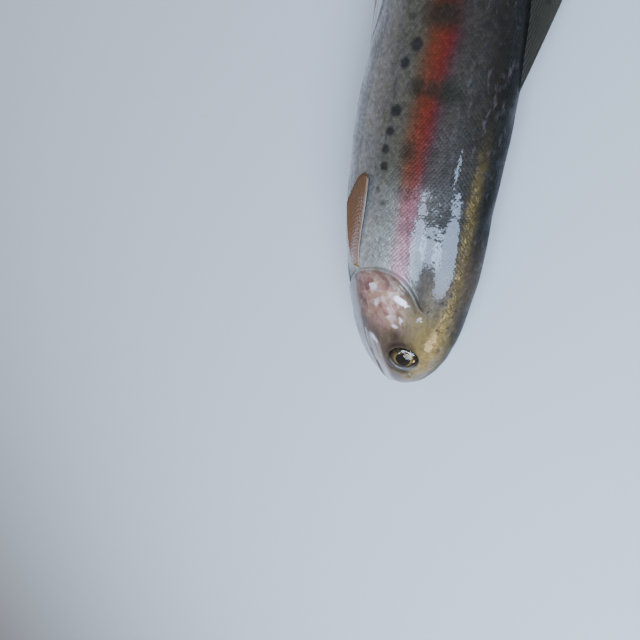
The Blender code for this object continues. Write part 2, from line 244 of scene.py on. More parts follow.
def gill_groove(share, angle):
    """How far the skin drops behind the gill opening's edge before it rises again."""
    folded = fold(angle)
    gill = behind(GILL_OPENING, share * STANDARD_LENGTH, folded)
    opening = 1 - soft_step(folded, *COVER_TOP)
    return -0.95 * soft_step(gill, -0.1, 0.7) * np.exp(-np.maximum(gill, 0) / 5.0) * opening


def head_relief(share, angle, points):
    """How far the skin of the head stands out from the plain body, a sum of bells and steps
    for each bone's edge, each groove, the eye sockets and the nostrils."""
    x = share * STANDARD_LENGTH
    y = points[..., 1] - AXIS_Y
    folded = fold(angle)
    gill = behind(GILL_OPENING, x, folded)
    crescent = behind(CRESCENT, x, folded)
    opening = 1 - soft_step(folded, *COVER_TOP)
    relief = gill_groove(share, angle) + 0.10 * ridge(gill + 1.4, 1.3) * opening
    relief -= 0.18 * ridge(gill + 3.4, 1.0) * opening * soft_step(-folded, -0.1, 0.5)
    bony = (1 - soft_step(np.abs(folded + 0.2), 0.75, 1.1)) * (1 - soft_step(folded, 0.0, 0.32))
    relief -= (0.26 * ridge(crescent, 0.8) - 0.10 * ridge(crescent + 2.0, 1.6)) * bony
    relief -= 0.22 * soft_step(crescent, -0.5, 0.7) * np.exp(-np.maximum(crescent, 0) / 3) * bony
    suture = (y + 9.5) + 0.42 * (x - 44)
    plate = soft_step(crescent, 0.5, 2) * soft_step(-gill, 0.5, 2)
    relief -= 0.3 * ridge(suture, 0.45) * plate
    relief += 0.35 * ridge(gill + 8.5, 4.0) * ridge(folded + 0.1, 0.55)
    facing = np.sin(gill / 1.7 + 2.2 * np.sin(y / 3.1)) * np.sin(y / 2.1 + x / 5.0)
    relief += 0.045 * facing * soft_step(-gill, 1.0, 4.0) * soft_step(x, 26, 36) * bony
    rays = soft_step(-folded, 0.62, 0.8) * soft_step(x, 20, 27) * soft_step(-gill, 0.3, 1.0)
    relief -= 0.3 * rays * (0.5 + 0.5 * np.cos(2 * math.pi * gill / 2.3)) * soft_step(gill, -13, -9)
    return relief + jaw_relief(x, y) + socket_relief(share, angle, points)


def jaw_relief(x, y):
    """The slit of the mouth, the two jaw bones over and under it, and the chin's groove."""
    line = mouth_line(x)
    ahead = 1 - soft_step(x, MOUTH_CORNER, 33.5)
    relief = -1.5 * ridge(y - line, 0.42) * ahead + 0.06 * np.sin(x / 1.9 + y / 2.3) * ahead
    width = (1.5 + 2.9 * soft_step(x, 3, 26)) * np.sqrt(np.clip((31.2 - x) / 4, 0, 1))
    middle = line + 0.5 + width * 0.42
    bone = soft_step(width / 2 - np.abs(y - middle), -0.25, 0.45) * soft_step(x, 0.5, 4)
    relief += 0.75 * bone
    relief -= 0.26 * ridge(y - (middle + width / 2 + 0.45), 0.7) * soft_step(x, 3, 7) * ahead
    relief -= 0.08 * ridge(y - (middle + width * 0.12), 0.5) * soft_step(x, 15, 19) * bone
    lip = ridge(y - (line - 1.3), 0.9) * ahead
    relief += 0.4 * lip
    chin = y + 5.4 + 0.37 * x
    relief -= 0.35 * ridge(chin, 0.9) * soft_step(x, 5, 10) * (1 - soft_step(x, 33, 37))
    relief -= 0.12 * ridge(y - (line - 3.6), 0.8) * soft_step(x, 8, 12) * ahead
    return relief


def around_centre(points, centre, normal):
    """Distance from a centre, measured in the plane that the normal stands on."""
    offset = points - centre
    depth = (offset * normal).sum(axis=-1)
    flat = np.linalg.norm(offset - depth[..., None] * normal, axis=-1)
    return np.where(np.abs(depth) < 9, flat, 99.0)


def eye_place(side):
    """Middle of the socket's mouth and the eye's axis, which looks more squarely sideways than
    the narrowing head does."""
    at = flank_angle(EYE_SHARE, EYE_Y, side)
    axis = body_frame(EYE_SHARE, at)[2] * (0.72, 1.0, 1.0)
    return body_point(EYE_SHARE, at), axis / np.linalg.norm(axis)


def socket_relief(share, angle, points):
    """The eye sockets, with their raised rims and the groove round each, and the nostrils: two
    pits on each side with a flap between them."""
    relief = np.zeros(points.shape[:-1])
    for side in (1, -1):
        r = around_centre(points, *eye_place(side))
        relief -= 3.2 * (1 - soft_step(r, 5.9, 6.55))
        relief += 0.10 * ridge(r - 7.2, 0.9) - 0.10 * ridge(r - 9.2, 1.2)
        for pit_share, pit_y, height, size in (
            (*NOSTRILS[0], -1.0, 0.75),
            (*NOSTRILS[1], -0.9, 0.65),
            (0.0450, 8.0, 0.45, 0.6),
        ):
            at = flank_angle(pit_share, pit_y, side)
            pit, pit_normal = body_point(pit_share, at), body_frame(pit_share, at)[2]
            relief += height * ridge(around_centre(points, pit, pit_normal), size)
    return relief


SCALE_BED = 0.22  # the scaled skin lies this far inside the scales' outer faces
SKIN_OFF_FLOOR = 0.12
SCALES_START = 0.246  # share behind which the skin's rings lie wider apart
GROOVE_END = 0.32  # share where the last of the head's grooves has faded out


def bare(share, angle):
    """1 on the bare head, 0 on the scaled body, from the gill opening and the nape."""
    folded = fold(angle)
    gill = behind(GILL_OPENING, share * STANDARD_LENGTH, folded)
    nape = soft_step(folded, *NAPE)
    return (1 - nape) * (1 - soft_step(gill, 0.0, 1.5)) + nape * (1 - soft_step(gill, -5.0, 9.0))


def make_piece(name, points, quads=None, triangles=None):
    """Smooth-shaded mesh object from arrays of points in millimetres and faces."""
    quads = np.zeros((0, 4), int) if quads is None else quads
    triangles = np.zeros((0, 3), int) if triangles is None else triangles
    mesh = bpy.data.meshes.new(name)
    mesh.vertices.add(len(points))
    mesh.vertices.foreach_set("co", (points * MM).astype(np.float32).ravel())
    corners = np.concatenate([quads.ravel(), triangles.ravel()]).astype(np.int32)
    mesh.loops.add(len(corners))
    mesh.loops.foreach_set("vertex_index", corners)
    sizes = np.concatenate([np.full(len(quads), 4), np.full(len(triangles), 3)])
    mesh.polygons.add(len(sizes))
    mesh.polygons.foreach_set("loop_start", (np.cumsum(sizes) - sizes).astype(np.int32))
    mesh.update(calc_edges=True)
    mesh.shade_smooth()
    piece = bpy.data.objects.new(name, mesh)
    bpy.context.scene.collection.objects.link(piece)
    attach(piece, "root")
    return piece


def mark(piece, **values):
    """Keeps numbers on the mesh's points, one named attribute each."""
    for name, numbers in values.items():
        attribute = piece.data.attributes.new(name, "FLOAT", "POINT")
        attribute.data.foreach_set("value", np.asarray(numbers, np.float32).ravel())


def tube_quads(rings, count):
    """Quads between the rings of a closed tube, facing out."""
    r, i = np.meshgrid(np.arange(rings - 1), np.arange(count), indexing="ij")
    j = (i + 1) % count
    quad = [r * count + i, r * count + j, (r + 1) * count + j, (r + 1) * count + i]
    return np.stack(quad, axis=-1).reshape(-1, 4)


def end_fans(rings, count, first, last):
    """Triangles that close a tube's two ends on one point each, facing out."""
    i = np.arange(count)
    j = (i + 1) % count
    back = (rings - 1) * count
    front_fan = np.stack([np.full(count, first), j, i], axis=-1)
    return np.concatenate([front_fan, np.stack([np.full(count, last), back + i, back + j], axis=-1)])


# --- markings: the same for skin and scales
# share and height over the axis of each small dark spot of the lower flank, with its radius,
# and of each parr mark, with its half length, half height and strength
LOWER_SPOTS = (
    (0.5415, -2.3, 2.1),
    (0.5205, -5.6, 1.7),
    (0.4625, -6.5, 2.0),
    (0.4365, -7.9, 1.6),
    (0.4125, -9.0, 1.6),
    (0.3895, -8.7, 1.6),
    (0.630, -4.4, 1.7),
    (0.662, -6.4, 1.3),
)
FAINT_SPOTS = ((0.574, -5.6, 1.5), (0.356, -10.2, 1.3), (0.338, -7.2, 1.2))
PARR_MARKS = (
    (0.262, 5.5, 3.0, 5.0, 0.25),
    (0.307, 4.0, 3.2, 5.4, 0.35),
    (0.356, 0.5, 3.2, 5.0, 0.45),
    (0.412, 0.2, 4.0, 3.6, 0.68),
    (0.408, 7.5, 4.0, 4.0, 0.35),
    (0.493, 0.4, 3.6, 3.4, 0.88),
    (0.488, 10.6, 4.6, 5.4, 0.95),
    (0.490, 5.4, 3.4, 4.0, 0.85),
    (0.575, 5.6, 5.0, 7.4, 0.95),
    (0.668, 4.6, 4.8, 7.0, 0.9),
    (0.748, 3.6, 4.4, 6.2, 0.85),
    (0.822, 2.6, 3.8, 5.2, 0.8),
    (0.890, 1.8, 3.4, 4.4, 0.7),
    (0.952, 1.0, 3.0, 3.8, 0.6),
)
# painted glints on the cheek, pale patches where its flat mirror-like facets catch the light:
# distance behind the snout, height over the axis, half length, half width, lean in degrees and strength
PAINTED_GLINT_FACETS = (
    (49.4, 4.2, 3.6, 1.7, 118, 0.95),
    (43.0, 12.0, 2.0, 1.4, 60, 0.62),
    (41.0, 5.0, 3.0, 1.3, 150, 0.62),
    (37.5, 2.4, 2.2, 1.4, 100, 0.50),
    (53.0, -9.0, 3.2, 1.9, 70, 0.66),
    (47.0, -6.0, 3.0, 1.4, 20, 0.55),
)
BAND = np.array(  # share, height of its middle, half width, strength
    [
        (0.00, 0.0, 3.0, 0.0),
        (0.20, 1.6, 3.6, 0.35),
        (0.26, 2.3, 3.8, 0.50),
        (0.31, 2.7, 4.0, 0.62),
        (0.38, 3.0, 5.2, 0.80),
        (0.45, 4.0, 6.0, 0.95),
        (0.55, 6.0, 6.2, 1.00),
        (0.65, 5.0, 5.8, 0.95),
        (0.80, 2.8, 4.4, 0.80),
        (0.93, 1.2, 3.2, 0.50),
        (1.04, 0.5, 3.0, 0.10),
    ]
)


def discs(share, y, places):
    """The strongest of a set of soft round marks at each point: 1 in its middle, 0.5 on its
    edge. Each place has a share, a height and a radius."""
    strongest = np.zeros(np.shape(share))
    for place, height, radius in places:
        near = np.abs(share - place) * STANDARD_LENGTH < 2.2 * radius
        r = np.hypot((share[near] - place) * STANDARD_LENGTH, y[near] - height) / radius
        strongest[near] = np.maximum(strongest[near], 1 / (1 + r**4))
    return strongest


def back_spots(side):
    """Small black spots scattered over the back and the tail stem, closer towards the tail."""
    dice = np.random.default_rng(11 if side > 0 else 23)
    count = 170
    share = 0.05 + 0.97 * dice.random(count) ** 0.55
    reach = body_size(1, share)
    low = np.where(share > 0.80, -0.45, 0.50)
    y = reach * (low + (0.97 - low) * dice.random(count))
    radius = (0.45 + 0.55 * dice.random(count)) * (0.55 + 0.55 * soft_step(share, 0.3, 0.7))
    return np.stack([share, y, radius], axis=-1)


def markings(share, angle):
    """Every marking at points of the body: how high the point lies, from -1 on the belly to 1
    on the back, its place across the red band, and the strength of the band, parr marks, spots,
    the cheek's blush, the painted shade round the eye and in the grooves with a dark patch
    behind the eye, the silver of the jaws, the gold streak, partly a painted sheen, the dull
    film, the painted glints on the cheek and the lateral line's pores."""
    share, angle = np.broadcast_arrays(np.asarray(share, float), np.asarray(angle, float))
    upward = np.sin(angle)
    height = np.where(upward > 0, body_size(1, share), body_size(2, share))
    rise = np.sign(upward) * np.abs(upward) ** (2 / FULLNESS)
    y = height * rise
    right = np.cos(angle) > 0
    middle, half, strength = (np.interp(share, BAND[:, 0], BAND[:, k]) for k in (1, 2, 3))
    across = (y - middle) / half
    band = np.exp(-(np.abs(across) ** 3.2)) * strength
    parr = np.zeros(share.shape)
    for place, up, long, tall, depth in PARR_MARKS:
        r = ((share - place) * STANDARD_LENGTH / long) ** 2 + ((y - up) / tall) ** 2
        parr = np.maximum(parr, depth * np.exp(-(r**1.6)))
    spots = np.zeros(share.shape)
    for side in (1, -1):
        on_side = right if side > 0 else ~right
        shift = 0.0 if side > 0 else 0.021
        lower = [(place + shift, up - 40 * shift, radius) for place, up, radius in LOWER_SPOTS]
        strong = discs(share, y, np.concatenate([lower, back_spots(side)]))
        faint = 0.62 * discs(share, y, FAINT_SPOTS)
        spots = np.where(on_side, np.maximum(strong, faint), spots)
    x = share * STANDARD_LENGTH
    folded = fold(angle)
    gill = behind(GILL_OPENING, x, folded)
    nape = soft_step(folded, math.radians(20), math.radians(40))
    head = (1 - nape) * soft_step(-gill, -0.3, 1.0) + nape * soft_step(-gill, -16, 9)
    blush = head * np.exp(-((((x - 48) / 12.5) ** 2 + ((y + 5.5 + 0.25 * (x - 48)) / 10) ** 2) ** 1.6))
    from_eye = np.hypot(x - EYE_SHARE * STANDARD_LENGTH, y - EYE_Y)
    # painted shade darkens the ring round the eye's socket, the gill opening's groove, the nostril pits
    # and the mouth's slit; a dark patch lies behind and below the eye
    dark_patch_and_painted_shade = 0.95 * ridge(from_eye - 7.6, 1.7) * soft_step(y, -4, 3)
    dark_patch_and_painted_shade = np.maximum(dark_patch_and_painted_shade, 0.8 * ridge(x - 32.5, 3.6) * ridge(y - 2.5, 3.2))
    dark_patch_and_painted_shade = np.maximum(dark_patch_and_painted_shade, 0.6 * ridge(gill + 0.9, 1.2) * soft_step(y, -2, 5))
    dark_patch_and_painted_shade = np.maximum(dark_patch_and_painted_shade, 0.3 * ridge(gill + 0.5, 0.8)) * (1 - nape)
    for pit, up in NOSTRILS:
        from_pit = np.hypot(x - pit * STANDARD_LENGTH, y - up)
        dark_patch_and_painted_shade = np.maximum(dark_patch_and_painted_shade, 0.95 * ridge(from_pit, 0.75))
    line = mouth_line(x)
    dark_patch_and_painted_shade = np.maximum(dark_patch_and_painted_shade, 0.8 * ridge(y - line, 0.55) * (1 - soft_step(x, MOUTH_CORNER, 32.5))) * head
    silver = ridge(y - (line + 1.9), 1.7) * (1 - soft_step(x, 29, 32))
    silver = np.maximum(silver, 0.6 * (1 - soft_step(y - line, -2.5, -0.5))) * head
    # the gold streak over the back and crown, wider at the brow: partly the skin's own gold, partly a
    # painted sheen where the wet back and brow catch the light
    brow = head * (1 - soft_step(x, 26, 42))
    gold = ridge(rise - 0.82 + 0.06 * head + 0.04 * brow, 0.055 + 0.045 * head + 0.08 * brow)
    gold = gold * (1 - soft_step(share, 0.34, 0.46)) * soft_step(x, 4, 16)
    matt = np.minimum(1, 1.6 * ridge(x - 43, 12) * ridge(y - 11.5, 8))
    matt = np.maximum(np.maximum(soft_step(rise, 0.84, 0.94), matt), 0.5 * blush)
    # painted glints: pale patches on the cheek where its flat facets mirror the light
    painted_glint = np.zeros(share.shape)
    for place, up, long, wide, lean, strength in PAINTED_GLINT_FACETS:
        c, s = math.cos(math.radians(lean)), math.sin(math.radians(lean))
        along = ((x - place) * c + (y - up) * s) / long
        beside = ((y - up) * c - (x - place) * s) / wide
        painted_glint = np.maximum(painted_glint, strength * np.exp(-(np.hypot(along, beside) ** 3)))
    lateral = 9.0 * np.exp(-(x - 50) / 22) + 1.0
    pores = 0.5 * ridge(y - lateral, 0.42) * (1 - head) * (1 - soft_step(share, 0.94, 1.0))
    return {
        "rise": rise,
        "band": band,
        "band_hue": np.clip(0.5 + 0.5 * across, 0, 1),
        "parr": parr,
        "spots": spots,
        "blush": blush,
        "dark_patch_and_painted_shade": dark_patch_and_painted_shade,
        "silver": silver,
        "gold": gold,
        "matt": matt,
        "painted_glint": painted_glint,
        "pores": pores,
        "head": head,
        "along": share,
    }


def make_skin():
    """Rings close together on the head and wider apart under the scales, each of points that
    lie closer on the flanks than on the back and belly, moved out by the relief."""
    nose = np.linspace(0.012, 0.11, 20) ** 2
    face = np.linspace(nose[-1], SCALES_START, 166)[1:]
    flank = np.linspace(SCALES_START, TAIL_ROOT, 118)[1:]
    share = np.concatenate([nose, face, flank])[:, None]
    turn = np.linspace(0, 2 * math.pi, 304, endpoint=False)[None, :]
    angle = turn - 0.15 * np.sin(2 * turn)
    points = body_point(share, angle)
    outward = body_frame(share + 0 * angle, angle + 0 * share)[2]
    share, angle = np.broadcast_arrays(share, angle)
    relief = np.where(share < GROOVE_END, head_relief(share, angle, points), 0.0)
    relief += swell(share, angle) - SCALE_BED * (1 - bare(share, angle))
    points = points + outward * relief[..., None]
    points[..., 2] = np.maximum(points[..., 2], SKIN_OFF_FLOOR)
    rings, count = share.shape
    ends = np.stack([points[0].mean(axis=0), points[-1].mean(axis=0)])
    ends[0] += (0.12, 0, 0)
    flat = np.concatenate([points.reshape(-1, 3), ends])
    first = rings * count
    fans = end_fans(rings, count, first, first + 1)
    skin = make_piece("skin", flat, tube_quads(rings, count), fans)
    values = markings(share, angle)
    for name, numbers in values.items():
        values[name] = np.append(numbers.ravel(), [numbers[0].mean(), numbers[-1].mean()])
    mark(skin, **values, lustre=np.full(len(flat), 0.45), rim=np.zeros(len(flat)))
    return skin


# --- the skin's finish, shared with the scales
def add_node(tree, kind, inputs=(), **settings):
    """New shader node. Inputs pairs a socket's name or number with a value or another socket."""
    made = tree.nodes.new(kind)
    for name, value in settings.items():
        setattr(made, name, value)
    for socket, value in dict(inputs).items():
        if isinstance(value, bpy.types.NodeSocket):
            tree.links.new(value, made.inputs[socket])
        else:
            made.inputs[socket].default_value = value
    return made


def ramp(tree, factor, stops):
    """Colour ramp through (place, colour) stops."""
    made = add_node(tree, "ShaderNodeValToRGB", {0: factor})
    elements = made.color_ramp.elements
    while len(elements) < len(stops):
        elements.new(0.5)
    for element, (place, colour) in zip(elements, stops):
        element.position = place
        element.color = (*colour, 1.0)
    return made.outputs[0]


def blend_colour(tree, factor, low, high, kind="MIX"):
    """Mix of two colours by a factor."""
    made = add_node(tree, "ShaderNodeMix", data_type="RGBA", blend_type=kind)
    for socket, value in ((made.inputs[0], factor), (made.inputs[6], low), (made.inputs[7], high)):
        if isinstance(value, bpy.types.NodeSocket):
            tree.links.new(value, socket)
        else:
            socket.default_value = (*value, 1.0) if isinstance(value, tuple) else value
    return made.outputs[2]


def maths(tree, operation, *values, clamp=False):
    """Arithmetic on sockets and numbers."""
    made = add_node(tree, "ShaderNodeMath", dict(enumerate(values)), operation=operation)
    made.use_clamp = clamp
    return made.outputs[0]


def times(tree, *factors):
    """Product of sockets and numbers."""
    product = factors[0]
    for factor in factors[1:]:
        product = maths(tree, "MULTIPLY", product, factor)
    return product


def above(tree, value, start, gain):
    """How far a value stands above a start, times a gain, held between 0 and 1."""
    return maths(tree, "MULTIPLY", maths(tree, "SUBTRACT", value, start), gain, clamp=True)


def sloping(tree, value, slope, start):
    """A value times a slope, from a start, held between 0 and 1."""
    return maths(tree, "MULTIPLY_ADD", value, slope, start, clamp=True)


def paint(tree, colour, *coats):
    """Coats laid over a colour one after another, each a strength and a colour of its own."""
    for strength, tint in coats:
        colour = blend_colour(tree, strength, colour, tint)
    return colour


def reading(tree, name):
    """The number kept on the mesh under a name."""
    return add_node(tree, "ShaderNodeAttribute", attribute_name=name).outputs["Fac"]


def noise(tree, coordinates, scale, detail=2.0, rough=0.5, distortion=0.0):
    """Noise at a scale of waves to the metre."""
    inputs = {0: coordinates, "Scale": scale, "Detail": detail, "Roughness": rough}
    inputs["Distortion"] = distortion
    return add_node(tree, "ShaderNodeTexNoise", inputs).outputs[0]


BELLY_TO_BACK = (
    (0.00, (0.50, 0.48, 0.50)),
    (0.10, (0.26, 0.25, 0.255)),
    (0.24, (0.150, 0.140, 0.133)),
    (0.38, (0.112, 0.101, 0.080)),
    (0.50, (0.080, 0.070, 0.049)),
    (0.60, (0.064, 0.053, 0.041)),
    (0.74, (0.043, 0.036, 0.029)),
    (0.90, (0.017, 0.014, 0.011)),
    (1.00, (0.006, 0.006, 0.004)),
)
CHIN_TO_CROWN = (
    (0.00, (0.24, 0.215, 0.215)),
    (0.16, (0.14, 0.120, 0.115)),
    (0.32, (0.130, 0.095, 0.080)),
    (0.50, (0.095, 0.060, 0.038)),
    (0.62, (0.110, 0.078, 0.042)),
    (0.76, (0.150, 0.098, 0.030)),
    (0.88, (0.040, 0.028, 0.011)),
    (1.00, (0.010, 0.008, 0.005)),
)
BAND_EDGE_TO_EDGE = (
    (0.00, (0.120, 0.050, 0.024)),
    (0.30, (0.150, 0.032, 0.014)),
    (0.60, (0.135, 0.018, 0.012)),
    (0.85, (0.085, 0.014, 0.018)),
    (1.00, (0.058, 0.018, 0.026)),
)
BLUSH = (
    (0.22, (0.140, 0.065, 0.050)),
    (0.36, (0.33, 0.155, 0.125)),
    (0.46, (0.52, 0.26, 0.21)),
    (0.55, (0.47, 0.28, 0.17)),
    (0.66, (0.74, 0.49, 0.42)),
    (0.78, (0.40, 0.25, 0.28)),
)


def flank_colour(tree, level, mottle, fleck, plum):
    """Pigment of the scaled body, by height from belly to back: paler low behind the gill
    cover, flecked with olive and purplish grey below and with black and purple above, and
    browner over the shoulder. Over it lie the red band, pinker towards the head, and the parr
    marks with their rough edges."""
    rise, along = reading(tree, "rise"), reading(tree, "along")
    paler = times(tree, sloping(tree, along, -6.0, 2.35), sloping(tree, rise, -2.2, 0.85), 0.8)
    low_flank, high_flank = sloping(tree, rise, -1.6, 0.75), sloping(tree, rise, 3.0, -0.7)
    olive = times(tree, above(tree, fleck, 0.50, 5.0), low_flank, 0.50)
    purple = times(tree, above(tree, fleck, 0.56, 8.0), high_flank, 0.42)
    brown = times(tree, sloping(tree, along, -11.0, 3.4), high_flank, 0.65)
    hue = ramp(tree, reading(tree, "band_hue"), BAND_EDGE_TO_EDGE)
    pinker = times(tree, sloping(tree, along, -7.0, 2.6), 0.88)
    hue = blend_colour(tree, pinker, hue, (0.78, 0.30, 0.38))
    broken = maths(tree, "MULTIPLY_ADD", mottle, 0.9, 0.55)
    band = maths(tree, "MULTIPLY", reading(tree, "band"), broken, clamp=True)
    rough = times(tree, maths(tree, "SUBTRACT", mottle, 0.5), 0.5)
    dusk = sloping(tree, maths(tree, "ADD", rough, reading(tree, "parr")), 1.25, -0.15)
    return paint(
        tree,
        ramp(tree, level, BELLY_TO_BACK),
        (paler, (0.54, 0.52, 0.47)),
        (olive, (0.11, 0.098, 0.052)),
        (times(tree, plum, low_flank, 0.55), (0.048, 0.040, 0.050)),
        (times(tree, plum, high_flank, 0.6), (0.014, 0.012, 0.010)),
        (purple, (0.110, 0.086, 0.092)),
        (brown, (0.100, 0.066, 0.042)),
        (band, hue),
        (times(tree, dusk, 0.9), (0.019, 0.019, 0.013)),
    )


def head_colour(tree, place, level, fleck, plum):
    """Pigment of the bare head, by height from chin to crown, with dark and pale veins. Over it
    lie the blush of the cheek, in facets, the silver of the jaws, the painted shade round the
    eye and in the grooves with a dark patch behind the eye, and painted glints on the cheek."""
    sheen = noise(tree, place, 170.0, 3.0, 0.55, 0.6)
    wander = add_node(tree, "ShaderNodeTexNoise", {0: place, "Scale": 260.0}).outputs[1]
    shrunk = add_node(tree, "ShaderNodeVectorMath", {0: wander, "Scale": 0.0025}, operation="SCALE")
    warped = add_node(tree, "ShaderNodeVectorMath", {0: place, 1: shrunk.outputs[0]}, operation="ADD")
    facets = add_node(tree, "ShaderNodeTexVoronoi", {0: warped.outputs[0], "Scale": 330.0})
    facet = add_node(tree, "ShaderNodeSeparateColor", {0: facets.outputs["Color"]}).outputs[0]
    pale_vein = times(tree, above(tree, fleck, 0.55, 6.0), 0.45)
    blotch = maths(tree, "ADD", times(tree, facet, 0.34), times(tree, sheen, 0.68))
    uneven = maths(tree, "MULTIPLY_ADD", sheen, 0.9, 0.5)
    blush = maths(tree, "MULTIPLY", reading(tree, "blush"), uneven, clamp=True)
    less_uneven = maths(tree, "MULTIPLY_ADD", sheen, 0.8, 0.5)
    # the painted shade in the socket and grooves, with the dark patch behind the eye, made uneven
    dark_patch_and_painted_shade = maths(tree, "MULTIPLY", reading(tree, "dark_patch_and_painted_shade"), less_uneven, clamp=True)
    painted_glint = maths(tree, "MULTIPLY_ADD", facet, 0.9, times(tree, reading(tree, "painted_glint"), 2.2))
    return paint(
        tree,
        ramp(tree, level, CHIN_TO_CROWN),
        (times(tree, plum, 0.8), (0.040, 0.026, 0.016)),
        (pale_vein, (0.27, 0.185, 0.085)),
        (blush, ramp(tree, blotch, BLUSH)),
        (times(tree, reading(tree, "silver"), 0.85), (0.46, 0.43, 0.44)),
        # painted shade in the recesses, with the dark patch behind the eye
        (dark_patch_and_painted_shade, (0.018, 0.010, 0.008)),
        # painted glints: pale patches on the cheek's facets
        (times(tree, above(tree, painted_glint, 1.25, 1.6), 0.9), (0.88, 0.78, 0.80)),
    )


def trout_finish(name, scaled):
    """Wet trout skin: the flank's colours and the bare head's, with gold, partly a painted sheen,
    pores and black spots over both, and the tail fin's own olive at the skin's end. It is
    silvery on the flank and lies under a clear film of water and slime."""
    material = bpy.data.materials.new(name)
    material.use_nodes = True
    tree = material.node_tree
    place = add_node(tree, "ShaderNodeTexCoord").outputs["Object"]
    mottle = noise(tree, place, 95.0, 4.0, 0.6)
    grain = noise(tree, place, 900.0, 2.0)
    foil = noise(tree, place, 420.0, 3.0, 0.6, 0.8)
    drawn_out = add_node(tree, "ShaderNodeMapping", {0: place, "Scale": (0.35, 1.0, 1.0)})
    fleck = noise(tree, drawn_out.outputs[0], 430.0, 3.0, 0.65, 0.4)
    plum = above(tree, 0.47, fleck, 5.0)
    rise, head = reading(tree, "rise"), reading(tree, "head")
    wobble = times(tree, maths(tree, "SUBTRACT", mottle, 0.5), 0.22)
    level = maths(tree, "ADD", maths(tree, "MULTIPLY_ADD", rise, 0.5, 0.5), wobble)
    # gold broken up by foil-like noise, partly the skin's own gold and partly a painted sheen
    gold_and_painted_sheen = maths(tree, "MULTIPLY_ADD", foil, 2.2, -0.45)
    gold_and_painted_sheen = maths(tree, "MULTIPLY", reading(tree, "gold"), gold_and_painted_sheen, clamp=True)
    pores = times(tree, reading(tree, "pores"), maths(tree, "MULTIPLY_ADD", mottle, 0.9, 0.2))
    grainy = maths(tree, "SUBTRACT", grain, 0.5)
    dots = above(tree, maths(tree, "MULTIPLY_ADD", grainy, 0.35, reading(tree, "spots")), 0.22, 1.9)
    colour = paint(
        tree,
        flank_colour(tree, level, mottle, fleck, plum),
        (head, head_colour(tree, place, level, fleck, plum)),
        # gold over flank and head, partly a painted sheen
        (gold_and_painted_sheen, blend_colour(tree, head, (0.175, 0.120, 0.044), (0.36, 0.24, 0.085))),
        (pores, (0.05, 0.03, 0.025)),
        (times(tree, dots, 0.88), (0.021, 0.021, 0.022)),
        (sloping(tree, reading(tree, "along"), 24.0, -23.7), (0.055, 0.050, 0.030)),
    )
    # each scale is a little lighter or darker than the next, and darker round its rim
    lustre = maths(tree, "MULTIPLY_ADD", reading(tree, "lustre"), 0.44, 0.80)
    lustre = times(tree, lustre, maths(tree, "MULTIPLY_ADD", reading(tree, "rim"), -0.16, 1.0))
    tone = add_node(tree, "ShaderNodeCombineColor", {0: lustre, 1: lustre, 2: lustre}).outputs[0]
    colour = blend_colour(tree, 1.0, colour, tone, "MULTIPLY")
    # metallic most of all on the lower flank, and on blush and gold
    from_silver = maths(tree, "ABSOLUTE", maths(tree, "ADD", rise, 0.35))
    metal = maths(tree, "MULTIPLY_ADD", from_silver, -0.42, 0.48)
    metal = maths(tree, "MAXIMUM", metal, times(tree, reading(tree, "blush"), 0.6))
    metal = maths(tree, "MAXIMUM", metal, times(tree, gold_and_painted_sheen, 0.75))
    # the film of water ripples, and under it grain, scale rims and gold stand out
    film = noise(tree, place, 230.0, 2.0, 0.5)
    ripple = add_node(tree, "ShaderNodeBump", {"Height": film, "Distance": 0.0005, "Strength": 0.16})
    cups = maths(tree, "MULTIPLY_ADD", reading(tree, "rim"), -1.0, times(tree, grain, 0.7))
    cups = maths(tree, "MULTIPLY_ADD", times(tree, foil, gold_and_painted_sheen), 5.0, cups)
    cupped = add_node(
        tree,
        "ShaderNodeBump",
        {"Height": cups, "Distance": 0.00016, "Strength": 0.6, "Normal": ripple.outputs[0]},
    )
    shader = tree.nodes["Principled BSDF"]
    tree.links.new(colour, shader.inputs["Base Color"])
    tree.links.new(maths(tree, "MAXIMUM", metal, 0.06), shader.inputs["Metallic"])
    tree.links.new(maths(tree, "MULTIPLY_ADD", mottle, 0.25, 0.26), shader.inputs["Roughness"])
    tree.links.new(cupped.outputs[0], shader.inputs["Normal"])
    tree.links.new(ripple.outputs[0], shader.inputs["Coat Normal"])
    coat = maths(tree, "MULTIPLY_ADD", reading(tree, "matt"), -0.84, 0.9)
    tree.links.new(coat, shader.inputs["Coat Weight"])
    shader.inputs["Specular IOR Level"].default_value = 0.12
    shader.inputs["Coat Roughness"].default_value = 0.06 if scaled else 0.035
    shader.inputs["Coat IOR"].default_value = 1.38
    return material


skin = make_skin()
skin.data.materials.append(trout_finish("wet_bare_skin", False))
FLESH = ["head", "trunk", "tail_stem", "lower_jaw", "maxilla_left", "maxilla_right"]
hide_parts(*FLESH, "gill_cover_left", "gill_cover_right")

# ============================================================================ scales
# Some twenty thousand small thin round scales of bone under a film of skin, set in slanting
# rows from the gill openings to the tail. Each is rooted under the ones ahead of it and lies
# almost flat, with its rear edge free.
SCALE_RUN = (0.92, 0.72)  # spacing of the columns along the body, at the shoulder and the tail
SCALE_GIRTH = (1.50, 1.14)  # spacing round it, within a column
SCALE_SIZE = (1.38, 0.62)  # half its length and half its width, as shares of those spacings
SCALE_CORNERS = 8
SCALE_TILT = 0.034  # rise over run
SCALE_DOME = 0.03
SCALE_THICK = 0.032
SCALE_DEPTH = -0.10  # its middle, under the body's outer face
SHADED_DOME = 0.016  # how far its edge's shading leans outward
SCALE_ROWS = (0.168, 1.030)  # shares between which the columns are laid
SCALE_END = (1.023, 0.006)  # share where they end on the flank, and how much later on the back
OFF_FLOOR = 0.03


def spacing(pair, share):
    """Spacing at a share: the pair's first from the shoulder forward, its second on the tail."""
    to_tail = np.clip((share - 0.25) / 0.7, 0, 1)
    return pair[0] + (pair[1] - pair[0]) * to_tail


